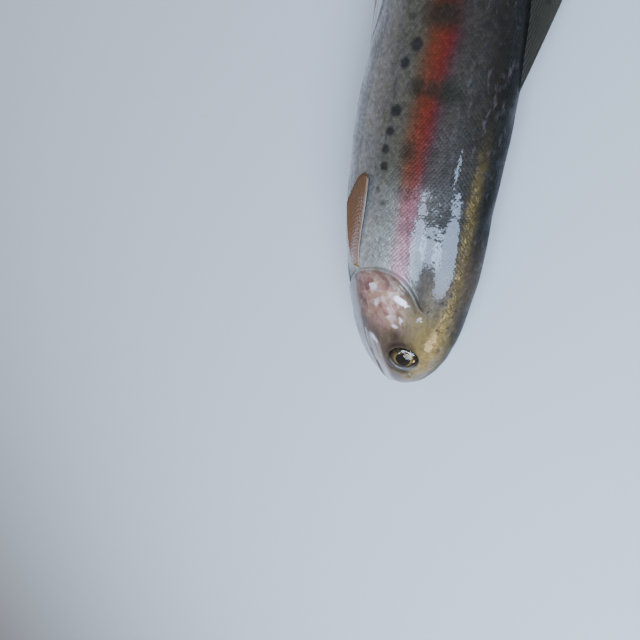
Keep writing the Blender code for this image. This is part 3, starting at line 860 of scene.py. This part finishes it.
def scale_roots():
    """Share and angle of every scale's middle: columns across the body at an even spacing, each
    with its scales evenly round the girth and shifted half a space from the last column's."""
    fine = np.linspace(0, 2 * math.pi, 721)
    share, last = SCALE_ROWS
    shares, angles, column = [], [], 0
    while share < last:
        ring = body_point(share, fine)
        arc = np.append(0, np.cumsum(np.linalg.norm(np.diff(ring, axis=0), axis=1)))
        count = round(arc[-1] / spacing(SCALE_GIRTH, share))
        steps = (np.arange(count) + 0.5 * (column % 2)) / count * arc[-1]
        shares.append(np.full(count, share))
        angles.append(np.interp(steps, arc, fine))
        share += spacing(SCALE_RUN, share) / STANDARD_LENGTH
        column += 1
    share, angle = np.concatenate(shares), np.concatenate(angles)
    folded = fold(angle)
    nape = soft_step(folded, *NAPE)
    clear = behind(GILL_OPENING, share * STANDARD_LENGTH, folded) > 1.6 - 4.5 * nape
    clear &= share < SCALE_END[0] + SCALE_END[1] * np.abs(np.sin(angle)) ** 2
    return share[clear], angle[clear]


def make_scales(name, share, angle, seed):
    """One mesh of thin lenses: a ring of corners, wider behind than in front, a point over its
    middle and one under it, tilted so that the rear edge is highest. The film of water and
    skin over them evens the shading out, so the points' normals lean only a little from the
    body's own."""
    dice = np.random.default_rng(seed)
    count = len(share)
    long = SCALE_SIZE[0] * spacing(SCALE_RUN, share[:, None])
    wide = SCALE_SIZE[1] * spacing(SCALE_GIRTH, share[:, None])
    turn = np.linspace(0, 2 * math.pi, SCALE_CORNERS, endpoint=False)[None, :]
    spread = 1 + 0.05 * dice.standard_normal((count, 1))
    back = long * np.cos(turn) * spread
    aside = wide * np.sin(turn) * (1 + 0.14 * np.cos(turn)) * spread
    back = np.concatenate([back, 0.25 * long, 0 * long], axis=1)
    aside = np.concatenate([aside, 0 * long, 0 * long], axis=1)
    roll = np.radians(1.2) * dice.standard_normal((count, 1))
    # a scale in the gill opening's groove leans as the groove's floor does
    drop = gill_groove(share + 0.002, angle) - gill_groove(share - 0.002, angle)
    slope = drop / (0.004 * STANDARD_LENGTH)
    rise = (SCALE_TILT + slope[:, None]) * back + aside * roll
    rise[:, :-2] += SCALE_THICK * 0.5
    rise[:, -2] += SCALE_DOME + SCALE_THICK * 0.5
    rise[:, -1] -= SCALE_THICK
    tailward, around, outward = body_frame(share, angle)
    depth = swell(share, angle) + gill_groove(share, angle) + SCALE_DEPTH
    root = body_point(share, angle) + depth[:, None] * outward
    points = (
        root[:, None]
        + back[..., None] * tailward[:, None]
        + aside[..., None] * around[:, None]
        + rise[..., None] * outward[:, None]
    )
    points[..., 2] = np.maximum(points[..., 2], OFF_FLOOR + OFF_FLOOR * (rise > SCALE_THICK))
    ring = np.arange(SCALE_CORNERS)
    after = (ring + 1) % SCALE_CORNERS
    over, under = np.full(SCALE_CORNERS, SCALE_CORNERS), np.full(SCALE_CORNERS, SCALE_CORNERS + 1)
    one = np.concatenate([np.stack([over, after, ring], -1), np.stack([under, ring, after], -1)])
    size = SCALE_CORNERS + 2
    faces = (one[None] + size * np.arange(count)[:, None, None]).reshape(-1, 3)
    piece = make_piece(name, points.reshape(-1, 3), triangles=faces)
    at_share = share[:, None] + back / STANDARD_LENGTH
    short_arc = body_point(share, angle + 0.01) - body_point(share, angle - 0.01)
    at_angle = angle[:, None] + aside * 0.02 / np.linalg.norm(short_arc, axis=-1)[:, None]
    lean = np.radians(0.4) * dice.standard_normal((count, 2))
    smooth = body_frame(at_share, at_angle)[2]
    smooth += (SHADED_DOME * back / long + lean[:, :1])[..., None] * tailward[:, None]
    smooth += (SHADED_DOME * aside / wide + lean[:, 1:])[..., None] * around[:, None]
    smooth[:, -1] = -outward
    smooth /= np.linalg.norm(smooth, axis=-1, keepdims=True)
    piece.data.normals_split_custom_set_from_vertices(smooth.reshape(-1, 3).tolist())
    values = markings(at_share, at_angle)
    rim = np.ones((count, size))
    rim[:, -2] = 0.0
    shine = np.repeat(dice.random((count, 1)), size, axis=1)
    mark(piece, **values, lustre=shine, rim=rim)
    # each scale is a small patch at its root's place on the unrolled skin
    patch = 0.003 / (2 * long.max())
    u = 0.03 + 0.90 * share[:, None] + patch * back
    v = 0.03 + 0.94 * np.mod(angle, 2 * math.pi)[:, None] / (2 * math.pi) + patch * aside
    layer = piece.data.uv_layers.new(name="OFBake")
    corners = np.stack([u.ravel()[faces.ravel()], v.ravel()[faces.ravel()]], axis=-1)
    layer.data.foreach_set("uv", corners.astype(np.float32).ravel())
    return piece


scale_share, scale_angle = scale_roots()
scale_finish = trout_finish("wet_scales", True)
for side_name, chosen, seed in (
    ("scales_right", np.cos(scale_angle) >= 0, 5),
    ("scales_left", np.cos(scale_angle) < 0, 6),
):
    scales = make_scales(side_name, scale_share[chosen], scale_angle[chosen], seed)
    scales.data.materials.append(scale_finish)

# ============================================================================ eyes
# A trout's round flat-fronted eye: a black pupil, a gold iris clouded with brown and a clear
# cornea over both. It sits in the socket's rim and cannot close.
EYE_RADIUS = 7.0
EYE_HALF_THICK = 3.0
EYE_SINK = 1.7
PRESSED_IN = 0.4  # how much deeper the eye sits that the head rests on
PUPIL = 3.3
SIDES = ((1, "right"), (-1, "left"))


def dome_height(half_thick, radius, rise=0.0):
    """Height of a round dome, half an ellipse standing on a rise, at a distance r from its axis."""
    return lambda r: rise + half_thick * np.sqrt(np.clip(1 - (r / radius) ** 2, 0, 1))


def eye_profile(r):
    """Height of iris and pupil over the eyeball's middle: the eyeball's own curve, dished over
    the iris, with a low ring round the pupil."""
    ball = dome_height(EYE_HALF_THICK, EYE_RADIUS)(r)
    dish = 0.85 * (1 - soft_step(r, 4.8, 6.2))
    return ball - dish + 0.12 * ridge(r - PUPIL - 0.35, 0.3)


def round_solid(name, height_front, height_back, radii, centre, axes, turns=64):
    """Closed solid of revolution: rings at the radii over the front, then back over the rear."""
    front = [(r, height_front(r)) for r in radii[1:]]
    rear = [(r, height_back(r)) for r in radii[1:-1][::-1]]
    profile = np.array(front + rear)
    turn = np.linspace(0, 2 * math.pi, turns, endpoint=False)
    ring = np.stack([np.cos(turn), np.sin(turn)], axis=-1)
    flat = profile[:, 0][:, None, None] * ring[None]
    local = np.concatenate([flat, np.repeat(profile[:, 1][:, None, None], turns, axis=1)], axis=-1)
    local = local.reshape(-1, 3)
    tips = np.array([(0, 0, height_front(np.array(0.0))), (0, 0, height_back(np.array(0.0)))])
    local = np.concatenate([local, tips])
    points = centre + local @ np.stack(axes)
    last = len(profile) * turns
    r, i = np.meshgrid(np.arange(len(profile) - 1), np.arange(turns), indexing="ij")
    j = (i + 1) % turns
    quads = np.stack([r * turns + i, (r + 1) * turns + i, (r + 1) * turns + j, r * turns + j], -1)
    i = np.arange(turns)
    j = (i + 1) % turns
    back = (len(profile) - 1) * turns
    fans = np.concatenate(
        [
            np.stack([np.full(turns, last), i, j], axis=-1),
            np.stack([np.full(turns, last + 1), back + j, back + i], axis=-1),
        ]
    )
    return make_piece(name, points, quads.reshape(-1, 4), fans), local


def iris_finish():
    """Black pupil, a bright gold ring, a silvery gold iris flecked with brown, a dark outer
    edge, by the distance from the eye's middle."""
    material = bpy.data.materials.new("trout_iris")
    material.use_nodes = True
    tree = material.node_tree
    place = add_node(tree, "ShaderNodeTexCoord").outputs["Object"]
    fleck = noise(tree, place, 1400.0, 3.0, 0.6)
    out = maths(tree, "MULTIPLY_ADD", maths(tree, "SUBTRACT", fleck, 0.5), 0.05, reading(tree, "out"))
    colour = ramp(
        tree,
        out,
        (
            (0.00, (0.003, 0.003, 0.004)),
            (0.46, (0.003, 0.003, 0.004)),
            (0.48, (0.50, 0.32, 0.09)),
            (0.53, (0.20, 0.125, 0.040)),
            (0.66, (0.085, 0.060, 0.028)),
            (0.80, (0.030, 0.021, 0.012)),
            (0.93, (0.008, 0.006, 0.004)),
        ),
    )
    brown = above(tree, fleck, 0.48, 4.0)
    colour = blend_colour(tree, times(tree, brown, 0.45), colour, (0.10, 0.07, 0.04), "MULTIPLY")
    bar = sloping(tree, reading(tree, "turn"), 0.8, 0.1)
    colour = blend_colour(tree, bar, colour, (0.22, 0.18, 0.14), "MULTIPLY")
    shader = tree.nodes["Principled BSDF"]
    tree.links.new(colour, shader.inputs["Base Color"])
    metal = above(tree, out, 0.47, 30.0)
    tree.links.new(times(tree, metal, 0.6), shader.inputs["Metallic"])
    tree.links.new(maths(tree, "MULTIPLY_ADD", metal, -0.25, 0.6), shader.inputs["Roughness"])
    shader.inputs["Specular IOR Level"].default_value = 0.1
    return material


def cornea_finish():
    """Clear, colourless and wet."""
    material = bpy.data.materials.new("clear_cornea")
    material.use_nodes = True
    shader = material.node_tree.nodes["Principled BSDF"]
    shader.inputs["Base Color"].default_value = (1, 1, 1, 1)
    shader.inputs["Roughness"].default_value = 0.01
    shader.inputs["IOR"].default_value = 1.36
    shader.inputs["Transmission Weight"].default_value = 1.0
    return material


iris, cornea = iris_finish(), cornea_finish()
for side, word in SIDES:
    mouth_of_socket, outward = eye_place(side)
    middle = mouth_of_socket - (EYE_SINK + PRESSED_IN * (side < 0)) * outward
    up = np.array([0.0, 1.0, 0.0]) - outward[1] * outward
    up = up / np.linalg.norm(up) * side
    forward = np.cross(up, outward)
    radii = np.concatenate([[0], np.linspace(0.35, 6.6, 34), [6.85, 7.0]])
    eye, local = round_solid(
        f"trout_eye_{word}",
        eye_profile,
        dome_height(-2.0, EYE_RADIUS),
        radii,
        middle,
        (forward, up, outward),
    )
    # the pupil is drawn out to a point towards the snout, and the iris is darker towards the snout and the
    # tail
    turn = np.arctan2(local[:, 1], local[:, 0])
    out = np.hypot(local[:, 0], local[:, 1]) / EYE_RADIUS
    mark(eye, out=out - 0.07 * np.exp(-((turn / 0.5) ** 2)) * (out < 0.6), turn=np.cos(2 * turn))
    eye.data.materials.append(iris)
    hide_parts(f"eye_{word}")
    window, _ = round_solid(
        f"cornea_{word}",
        dome_height(EYE_HALF_THICK, EYE_RADIUS + 0.02, 0.04),
        dome_height(EYE_HALF_THICK, EYE_RADIUS - 0.02, -0.12),
        np.concatenate([[0], np.linspace(0.5, 6.4, 22), [6.6]]),
        middle,
        (forward, up, outward),
    )
    window.data.materials.append(cornea)

# ============================================================================ fins
# Thin wet membranes stretched over fine jointed rays, which fork towards the margin. Each is
# rooted in the body. The paired fins are folded back, the dorsal and anal fins have sunk, and
# the tail fin lies spread on the floor.
MEMBRANE = 0.24  # thickness between the rays
RAY = 0.58  # thickness over a ray
BELLY_RADIUS = 24.0  # of the body where the paired fins are rooted


def ray_pattern(u, v, rays):
    """Height of the rays, from 0 to 1, at a share u across the fin and v out from its root: a
    ridge for each ray, which parts into two on its way out and into four near the margin."""
    beat = u * rays
    offset = beat - np.floor(beat) - 0.5
    fork, twig = 0.25 * soft_step(v, 0.25, 0.65), 0.12 * soft_step(v, 0.62, 0.95)
    width = 0.19 - 0.09 * soft_step(v, 0.3, 0.95)
    height = np.max([ridge(offset - a * fork - b * twig, width) for a in (-1, 1) for b in (-1, 1)], axis=0)
    return height * (1 - 0.45 * v)


def fin_surface(name, middle, rays, u, v, root_thick):
    """Closed thin solid round a grid of middle points: half the thickness to each side, thick
    at the root and over the rays."""
    rayed = ray_pattern(u, v, rays)
    thick = MEMBRANE + (RAY - MEMBRANE) * rayed + (root_thick - RAY) * (1 - v) ** 4
    normal = np.cross(np.gradient(middle, axis=0), np.gradient(middle, axis=1))
    normal /= np.linalg.norm(normal, axis=2, keepdims=True)
    half = normal * thick[..., None] / 2
    middle = middle.copy()
    middle[..., 2] += np.maximum(0, OFF_FLOOR + np.abs(half[..., 2]) - middle[..., 2])
    rows, columns = u.shape
    points = np.concatenate([(middle + half).reshape(-1, 3), (middle - half).reshape(-1, 3)])
    number = np.arange(rows * columns).reshape(rows, columns)
    top = np.stack([number[:-1, :-1], number[1:, :-1], number[1:, 1:], number[:-1, 1:]], -1)
    top = top.reshape(-1, 4)
    rim = np.concatenate([number[0, :], number[1:, -1], number[-1, -2::-1], number[-2:0:-1, 0]])
    after = np.roll(rim, -1)
    low = rows * columns
    side = np.stack([rim, after, after + low, rim + low], -1)
    quads = np.concatenate([top, top[:, ::-1] + low, side])
    piece = make_piece(name, points, quads)
    both = {key: np.tile(value.ravel(), 2) for key, value in (("ray", rayed), ("across", u), ("out", v))}
    mark(piece, **both)
    return piece


def fin_finish(name, base, margin, ray_colour, edge=None, spots=0.0, root=None):
    """Wet fin: the membrane's colour from root to margin, the rays' own colour over it, dark
    spots between the rays, and a pale leading edge where the fin has one."""
    material = bpy.data.materials.new(name)
    material.use_nodes = True
    tree = material.node_tree
    place = add_node(tree, "ShaderNodeTexCoord").outputs["Object"]
    cloud = noise(tree, place, 260.0, 3.0, 0.6)
    out, across, ray = (reading(tree, key) for key in ("out", "across", "ray"))
    clouded = maths(tree, "MULTIPLY_ADD", maths(tree, "SUBTRACT", cloud, 0.5), 0.35, out)
    colour = ramp(tree, clouded, ((0.0, root or base), (0.3, base), (0.95, margin)))
    colour = blend_colour(tree, times(tree, ray, 0.6), colour, ray_colour)
    if spots:
        grid = add_node(tree, "ShaderNodeTexVoronoi", {0: place, "Scale": 185.0, "Randomness": 0.85})
        dot = above(tree, spots, grid.outputs["Distance"], 9.0)
        dot = times(tree, dot, maths(tree, "MULTIPLY_ADD", ray, -0.4, 1.0))
        colour = blend_colour(tree, times(tree, dot, 0.9), colour, (0.012, 0.012, 0.010))
    if edge:
        leading = above(tree, 0.075, across, 40.0)
        colour = blend_colour(tree, times(tree, leading, 0.9), colour, edge)
    joint = maths(tree, "SINE", times(tree, out, 150.0))
    height = maths(tree, "ADD", times(tree, joint, ray), times(tree, cloud, 0.8))
    bump = add_node(tree, "ShaderNodeBump", {"Height": height, "Distance": 0.00012, "Strength": 0.35})
    shader = tree.nodes["Principled BSDF"]
    tree.links.new(colour, shader.inputs["Base Color"])
    tree.links.new(bump.outputs[0], shader.inputs["Normal"])
    tree.links.new(maths(tree, "MULTIPLY_ADD", cloud, 0.2, 0.3), shader.inputs["Roughness"])
    shader.inputs["Coat Weight"].default_value = 0.30
    shader.inputs["Coat Roughness"].default_value = 0.18
    shader.inputs["Subsurface Weight"].default_value = 0.25
    shader.inputs["Subsurface Radius"].default_value = (0.0012, 0.0008, 0.0005)
    shader.inputs["Subsurface Scale"].default_value = 1.0
    return material


def fin_grid(rays, across_ray, steps):
    """Shares across the fin and out from its root."""
    u = np.linspace(0, 1, rays * across_ray + 1)[:, None]
    v = np.linspace(0, 1, steps)[None, :]
    return np.broadcast_arrays(u, v)


def ragged(u, rays, depth):
    """Small loss of length between the rays, as the membrane ends short of them."""
    return 1 - depth * np.abs(np.sin(math.pi * u * rays)) ** 3


def median_fin(name, front, rear, side, lengths, leans, root_thick, droop, rays):
    """A fin of the back (side 1) or belly (side -1). Its rays stand on the body between two
    shares, and lean back at angles, in degrees, that go from the first ray to the last. The
    longest ray's tip sinks by the droop."""
    u, v = fin_grid(rays, 10, 34)
    share = front + (rear - front) * u
    height = body_size(1 if side > 0 else 2, share)
    rounded = 1 - 0.12 * np.clip(1 - u / 0.12, 0, 1) ** 2
    length = (lengths[0] + (lengths[1] - lengths[0]) * u**0.8) * rounded
    length = length * ragged(u, rays, 0.02)
    lean = np.radians(leans[0] + (leans[1] - leans[0]) * u) * (1 - 0.15 * v)
    sink = 2.5
    run = v * (length + sink) - sink
    x = SNOUT_X - share * STANDARD_LENGTH - run * np.cos(lean)
    y = AXIS_Y + side * (height + run * np.sin(lean))
    z = backbone((SNOUT_X - x) / STANDARD_LENGTH)
    z = z - droop * np.clip(run / lengths[0], 0, 1) ** 1.5
    z = z + 0.35 * np.sin(u * 9.0) * v**2
    return fin_surface(name, np.stack([x, y, z], axis=-1), rays, u, v, root_thick)


dorsal = median_fin(
    "trout_dorsal_fin",
    front=0.495,
    rear=0.625,
    side=1,
    lengths=(32.6, 15.0),
    leans=(15.0, 10.0),
    root_thick=2.2,
    droop=5.0,
    rays=13,
)
dorsal_finish = fin_finish(
    "dorsal_fin_skin",
    base=(0.016, 0.015, 0.009),
    margin=(0.030, 0.027, 0.018),
    ray_colour=(0.034, 0.031, 0.020),
    spots=0.30,
    root=(0.010, 0.009, 0.006),
)
dorsal.data.materials.append(dorsal_finish)
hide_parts("dorsal_fin")

anal = median_fin(
    "trout_anal_fin",
    front=0.742,
    rear=0.846,
    side=-1,
    lengths=(25.8, 12.0),
    leans=(44.0, 28.0),
    root_thick=1.8,
    droop=4.0,
    rays=11,
)
anal_finish = fin_finish(
    "anal_fin_skin",
    base=(0.24, 0.155, 0.085),
    margin=(0.20, 0.120, 0.065),
    ray_colour=(0.32, 0.23, 0.14),
    edge=(0.62, 0.60, 0.55),
)
anal.data.materials.append(anal_finish)
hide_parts("anal_fin")


def paired_fin(name, side, share, degrees, length, width, sweep, lift, rays):
    """A pectoral or pelvic fin folded back along the body, its first and longest ray uppermost.
    It is rooted at a share and at an angle round the body, which the sweep turns on its way
    back, and it follows the body's own curve, lifted a little further off towards its tip."""
    u, v = fin_grid(rays, 10, 34)
    full = length * (1 - 0.34 * u**1.8) * (1 - 0.05 * np.clip(1 - u / 0.15, 0, 1))
    full = full * ragged(u, rays, 0.02)
    at = share + v * full / STANDARD_LENGTH
    girth = np.radians(degrees + sweep * v)
    spread = width * (0.35 + 0.65 * np.sin(v * math.pi / 2)) / BELLY_RADIUS
    girth = girth - spread * (u - 0.5)
    off = 0.55 + lift * v**1.5 - 1.6 * (1 - v) ** 6 + 0.25 * np.sin(u * 7.0) * v**2
    points = body_point(at, girth, off)
    if side < 0:
        points[..., 2] = 2 * backbone(at) - points[..., 2]
    return fin_surface(name, points, rays, u, v, 1.3)


PECTORAL = {
    "share": 0.231,
    "degrees": -41.0,
    "length": 38.0,
    "width": 11.0,
    "sweep": 2.0,
    "lift": 0.7,
    "rays": 13,
}
PELVIC = {
    "share": 0.545,
    "degrees": -76.0,
    "length": 29.0,
    "width": 9.0,
    "sweep": 12.0,
    "lift": 2.2,
    "rays": 10,
}
pectoral_finish = fin_finish(
    "pectoral_fin_skin",
    base=(0.125, 0.040, 0.008),
    margin=(0.075, 0.027, 0.007),
    ray_colour=(0.155, 0.062, 0.015),
    edge=(0.20, 0.13, 0.08),
)
pelvic_finish = fin_finish(
    "pelvic_fin_skin",
    base=(0.22, 0.140, 0.080),
    margin=(0.19, 0.115, 0.065),
    ray_colour=(0.29, 0.21, 0.14),
    edge=(0.30, 0.29, 0.28),
)
for side, word in SIDES:
    pectoral = paired_fin(f"trout_pectoral_{word}", side, **PECTORAL)
    pectoral.data.materials.append(pectoral_finish)
    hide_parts(f"pectoral_fin_{word}")
    pelvic = paired_fin(f"trout_pelvic_{word}", side, **PELVIC)
    pelvic.data.materials.append(pelvic_finish)
    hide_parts(f"pelvic_fin_{word}")


def tail_fan():
    """The tail fin: a fan of rays, longest at its two lobes, so that its rear edge is forked.
    It sinks from the stem's end to the floor."""
    rays, half_root, half_spread = 22, 13.0, np.radians(24.0)
    middle_ray, lobe, rounding = 26.6, 17.9, 3.5
    u, v = fin_grid(rays, 10, 44)
    across = 2 * u - 1
    corner = np.clip(np.abs(across) - 0.88, 0, 1) / 0.12
    reach = middle_ray + lobe * np.abs(across) ** 1.6 - rounding * corner
    reach = reach * ragged(u, rays, 0.012)
    x = SNOUT_X - STANDARD_LENGTH - 0.4 - v * reach
    y = AXIS_Y + across * half_root + v * reach * np.tan(half_spread * across)
    z = 4.5 * (1 - v) ** 1.6 + 0.35 + 0.25 * np.sin(u * 16.0) * v * (1 - v) * 2
    return fin_surface("trout_tail_fin", np.stack([x, y, z], axis=-1), rays, u, v, 2.4)


tail = tail_fan()
tail_finish = fin_finish(
    "tail_fin_skin",
    base=(0.100, 0.090, 0.055),
    margin=(0.115, 0.080, 0.050),
    ray_colour=(0.165, 0.135, 0.085),
    spots=0.33,
    root=(0.055, 0.050, 0.030),
)
tail.data.materials.append(tail_finish)
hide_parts("tail_fin")


def adipose_lobe():
    """The adipose fin, a small rayless lobe of fat: a bent tongue with a round tip, thick at
    its root and thin along its edge."""
    v = np.linspace(0, 1, 26)[:, None]
    turn = np.linspace(0, 2 * math.pi, 36, endpoint=False)[None, :]
    run = -2.5 + v * 15.0
    lean = np.radians(44 - 14 * v)
    long = 3.5 * np.sqrt(np.clip(1 - ((v - 0.35) / 0.66) ** 2, 0, 1)) * (1 - 0.18 * v) + 0.02
    thick = (1.05 - 0.62 * v) * np.sqrt(np.clip(1 - (v / 1.001) ** 6, 0, 1)) + 0.01
    spine_x = SNOUT_X - (0.838 * STANDARD_LENGTH + 3.5) - run * np.cos(lean)
    spine_y = AXIS_Y + body_size(1, 0.852) + run * np.sin(lean)
    x = spine_x - long * np.cos(turn) * np.sin(lean)
    y = spine_y - long * np.cos(turn) * np.cos(lean) * 0.55
    z = backbone((SNOUT_X - spine_x) / STANDARD_LENGTH) + thick * np.sin(turn) - 0.5 * v**2
    points = np.stack(np.broadcast_arrays(x, y, z), axis=-1)
    rings, count = points.shape[:2]
    ends = np.stack([points[0].mean(axis=0), points[-1].mean(axis=0)])
    first = rings * count
    quads = tube_quads(rings, count)
    fans = end_fans(rings, count, first, first + 1)
    piece = make_piece("trout_adipose_fin", np.concatenate([points.reshape(-1, 3), ends]), quads, fans)
    v_all = np.append(np.repeat(v[:, 0], count), [0.0, 1.0])
    turn_all = np.append(np.tile(turn[0], rings), [0.0, 0.0])
    mark(piece, out=v_all, across=0.5 + 0.5 * np.cos(turn_all), ray=np.zeros(len(v_all)))
    return piece


adipose = adipose_lobe()
adipose_finish = fin_finish(
    "adipose_fin_skin",
    base=(0.075, 0.07, 0.042),
    margin=(0.02, 0.02, 0.015),
    ray_colour=(0.08, 0.07, 0.04),
    spots=0.22,
)
adipose.data.materials.append(adipose_finish)
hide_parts("adipose_fin")

# ============================================================================ floor and lights
# A plain pale studio floor under soft lamps: six oval panels overhead that lie together as one
# ragged bright patch on the wet shoulder, one that fills the belly's side, one that shines in
# the eye, and a low warm one for the brow.
FLOOR_REACH = 4.0
FLOOR_Z = -0.0002
floor_mesh = bpy.data.meshes.new("floor")
floor_signs = ((-1, -1), (1, -1), (1, 1), (-1, 1))
floor_corners = [(x * FLOOR_REACH, y * FLOOR_REACH, FLOOR_Z) for x, y in floor_signs]
floor_mesh.from_pydata(floor_corners, [], [(0, 1, 2, 3)])
floor = bpy.data.objects.new("floor", floor_mesh)
bpy.context.scene.collection.objects.link(floor)
floor_finish = bpy.data.materials.new("pale_floor")
floor_finish.use_nodes = True
floor_shader = floor_finish.node_tree.nodes["Principled BSDF"]
floor_shader.inputs["Base Color"].default_value = (0.54, 0.54, 0.54, 1)
floor_shader.inputs["Roughness"].default_value = 0.7
floor_mesh.materials.append(floor_finish)


def soft_lamp(name, toward, across, distance, size, watts, colour):
    """Oval area lamp in a direction from the shoulder, its first diameter along across."""
    data = bpy.data.lights.new(name, "AREA")
    data.shape = "ELLIPSE"
    data.size, data.size_y = size
    data.energy = watts
    data.color = colour
    lamp = bpy.data.objects.new(name, data)
    toward = Vector(toward).normalized()
    across = Vector(across)
    across = (across - across.dot(toward) * toward).normalized()
    turned = Matrix((across, toward.cross(across), toward)).transposed()
    lamp.matrix_world = Matrix.Translation(Vector(SHOULDER) + distance * toward) @ turned.to_4x4()
    bpy.context.scene.collection.objects.link(lamp)


SHOULDER = (0.07, 0.005, 0.034)
OVERHEAD = Vector((0.28, 0.16, 0.945)).normalized()
ALONG = (Vector((1, 0, 0)) - OVERHEAD.x * OVERHEAD).normalized()
UP_THE_BODY = OVERHEAD.cross(ALONG)
OVERHEAD_HEIGHT = 0.75
PANEL_WATTS = 60.0  # to the square metre, the same for all
# how far each panel's middle lies ahead of the direction overhead and up the body from it, and
# its length in each of the two, in metres
for number, (ahead, up, long, wide) in enumerate(
    (
        (0.03, -0.12, 0.26, 0.20),
        (0.00, 0.06, 0.13, 0.27),
        (0.09, 0.42, 0.34, 0.46),
        (-0.165, 0.335, 0.09, 0.06),
        (0.258, -0.26, 0.08, 0.10),
        (0.02, 0.20, 0.11, 0.14),
    )
):
    toward = OVERHEAD_HEIGHT * OVERHEAD + ahead * ALONG + up * UP_THE_BODY
    soft_lamp(
        f"overhead_panel_{number}",
        toward,
        tuple(UP_THE_BODY),
        toward.length,
        (wide, long),
        PANEL_WATTS * long * wide,
        (0.50, 0.69, 1.0),
    )
soft_lamp("belly_lamp", (-0.08, -0.93, 0.36), (1, 0, 0), 1.1, (1.2, 0.6), 1.6, (1.0, 0.96, 0.92))
soft_lamp("eye_lamp", (0.67, 0.27, 0.69), (0, 1, 0), 0.75, (0.38, 0.30), 2.3, (0.76, 0.87, 1.0))
soft_lamp("brow_lamp", (0.81, 0.49, 0.30), (0, 1, 0), 0.75, (0.20, 0.10), 0.9, (1.0, 0.80, 0.48))

world = bpy.data.worlds.new("studio")
world.use_nodes = True
world.node_tree.nodes["Background"].inputs[0].default_value = (0.97, 0.90, 0.82, 1)
world.node_tree.nodes["Background"].inputs[1].default_value = 0.30
bpy.context.scene.world = world

# ============================================================================ camera
# Held over the fish's back and looking down along it to the head, turned so that the head is
# at the bottom and the back on the right.
camera_data = bpy.data.cameras.new("camera")
camera_data.lens = 26.4
camera_data.sensor_width = 36.0
camera_data.clip_start = 0.01
camera = bpy.data.objects.new("camera", camera_data)
eye_point = Vector((SNOUT_X - 112.9, AXIS_Y + 62.1, 202.3)) * MM
backward = Vector((-0.389, 0.450, 0.804)).normalized()
upward = Vector((-0.923, -0.245, -0.297))
rightward = upward.cross(backward).normalized()
upward = backward.cross(rightward)
turned = Matrix((rightward, upward, backward)).transposed()
camera.matrix_world = Matrix.Translation(eye_point) @ turned.to_4x4()
bpy.context.scene.collection.objects.link(camera)
bpy.context.scene.camera = camera
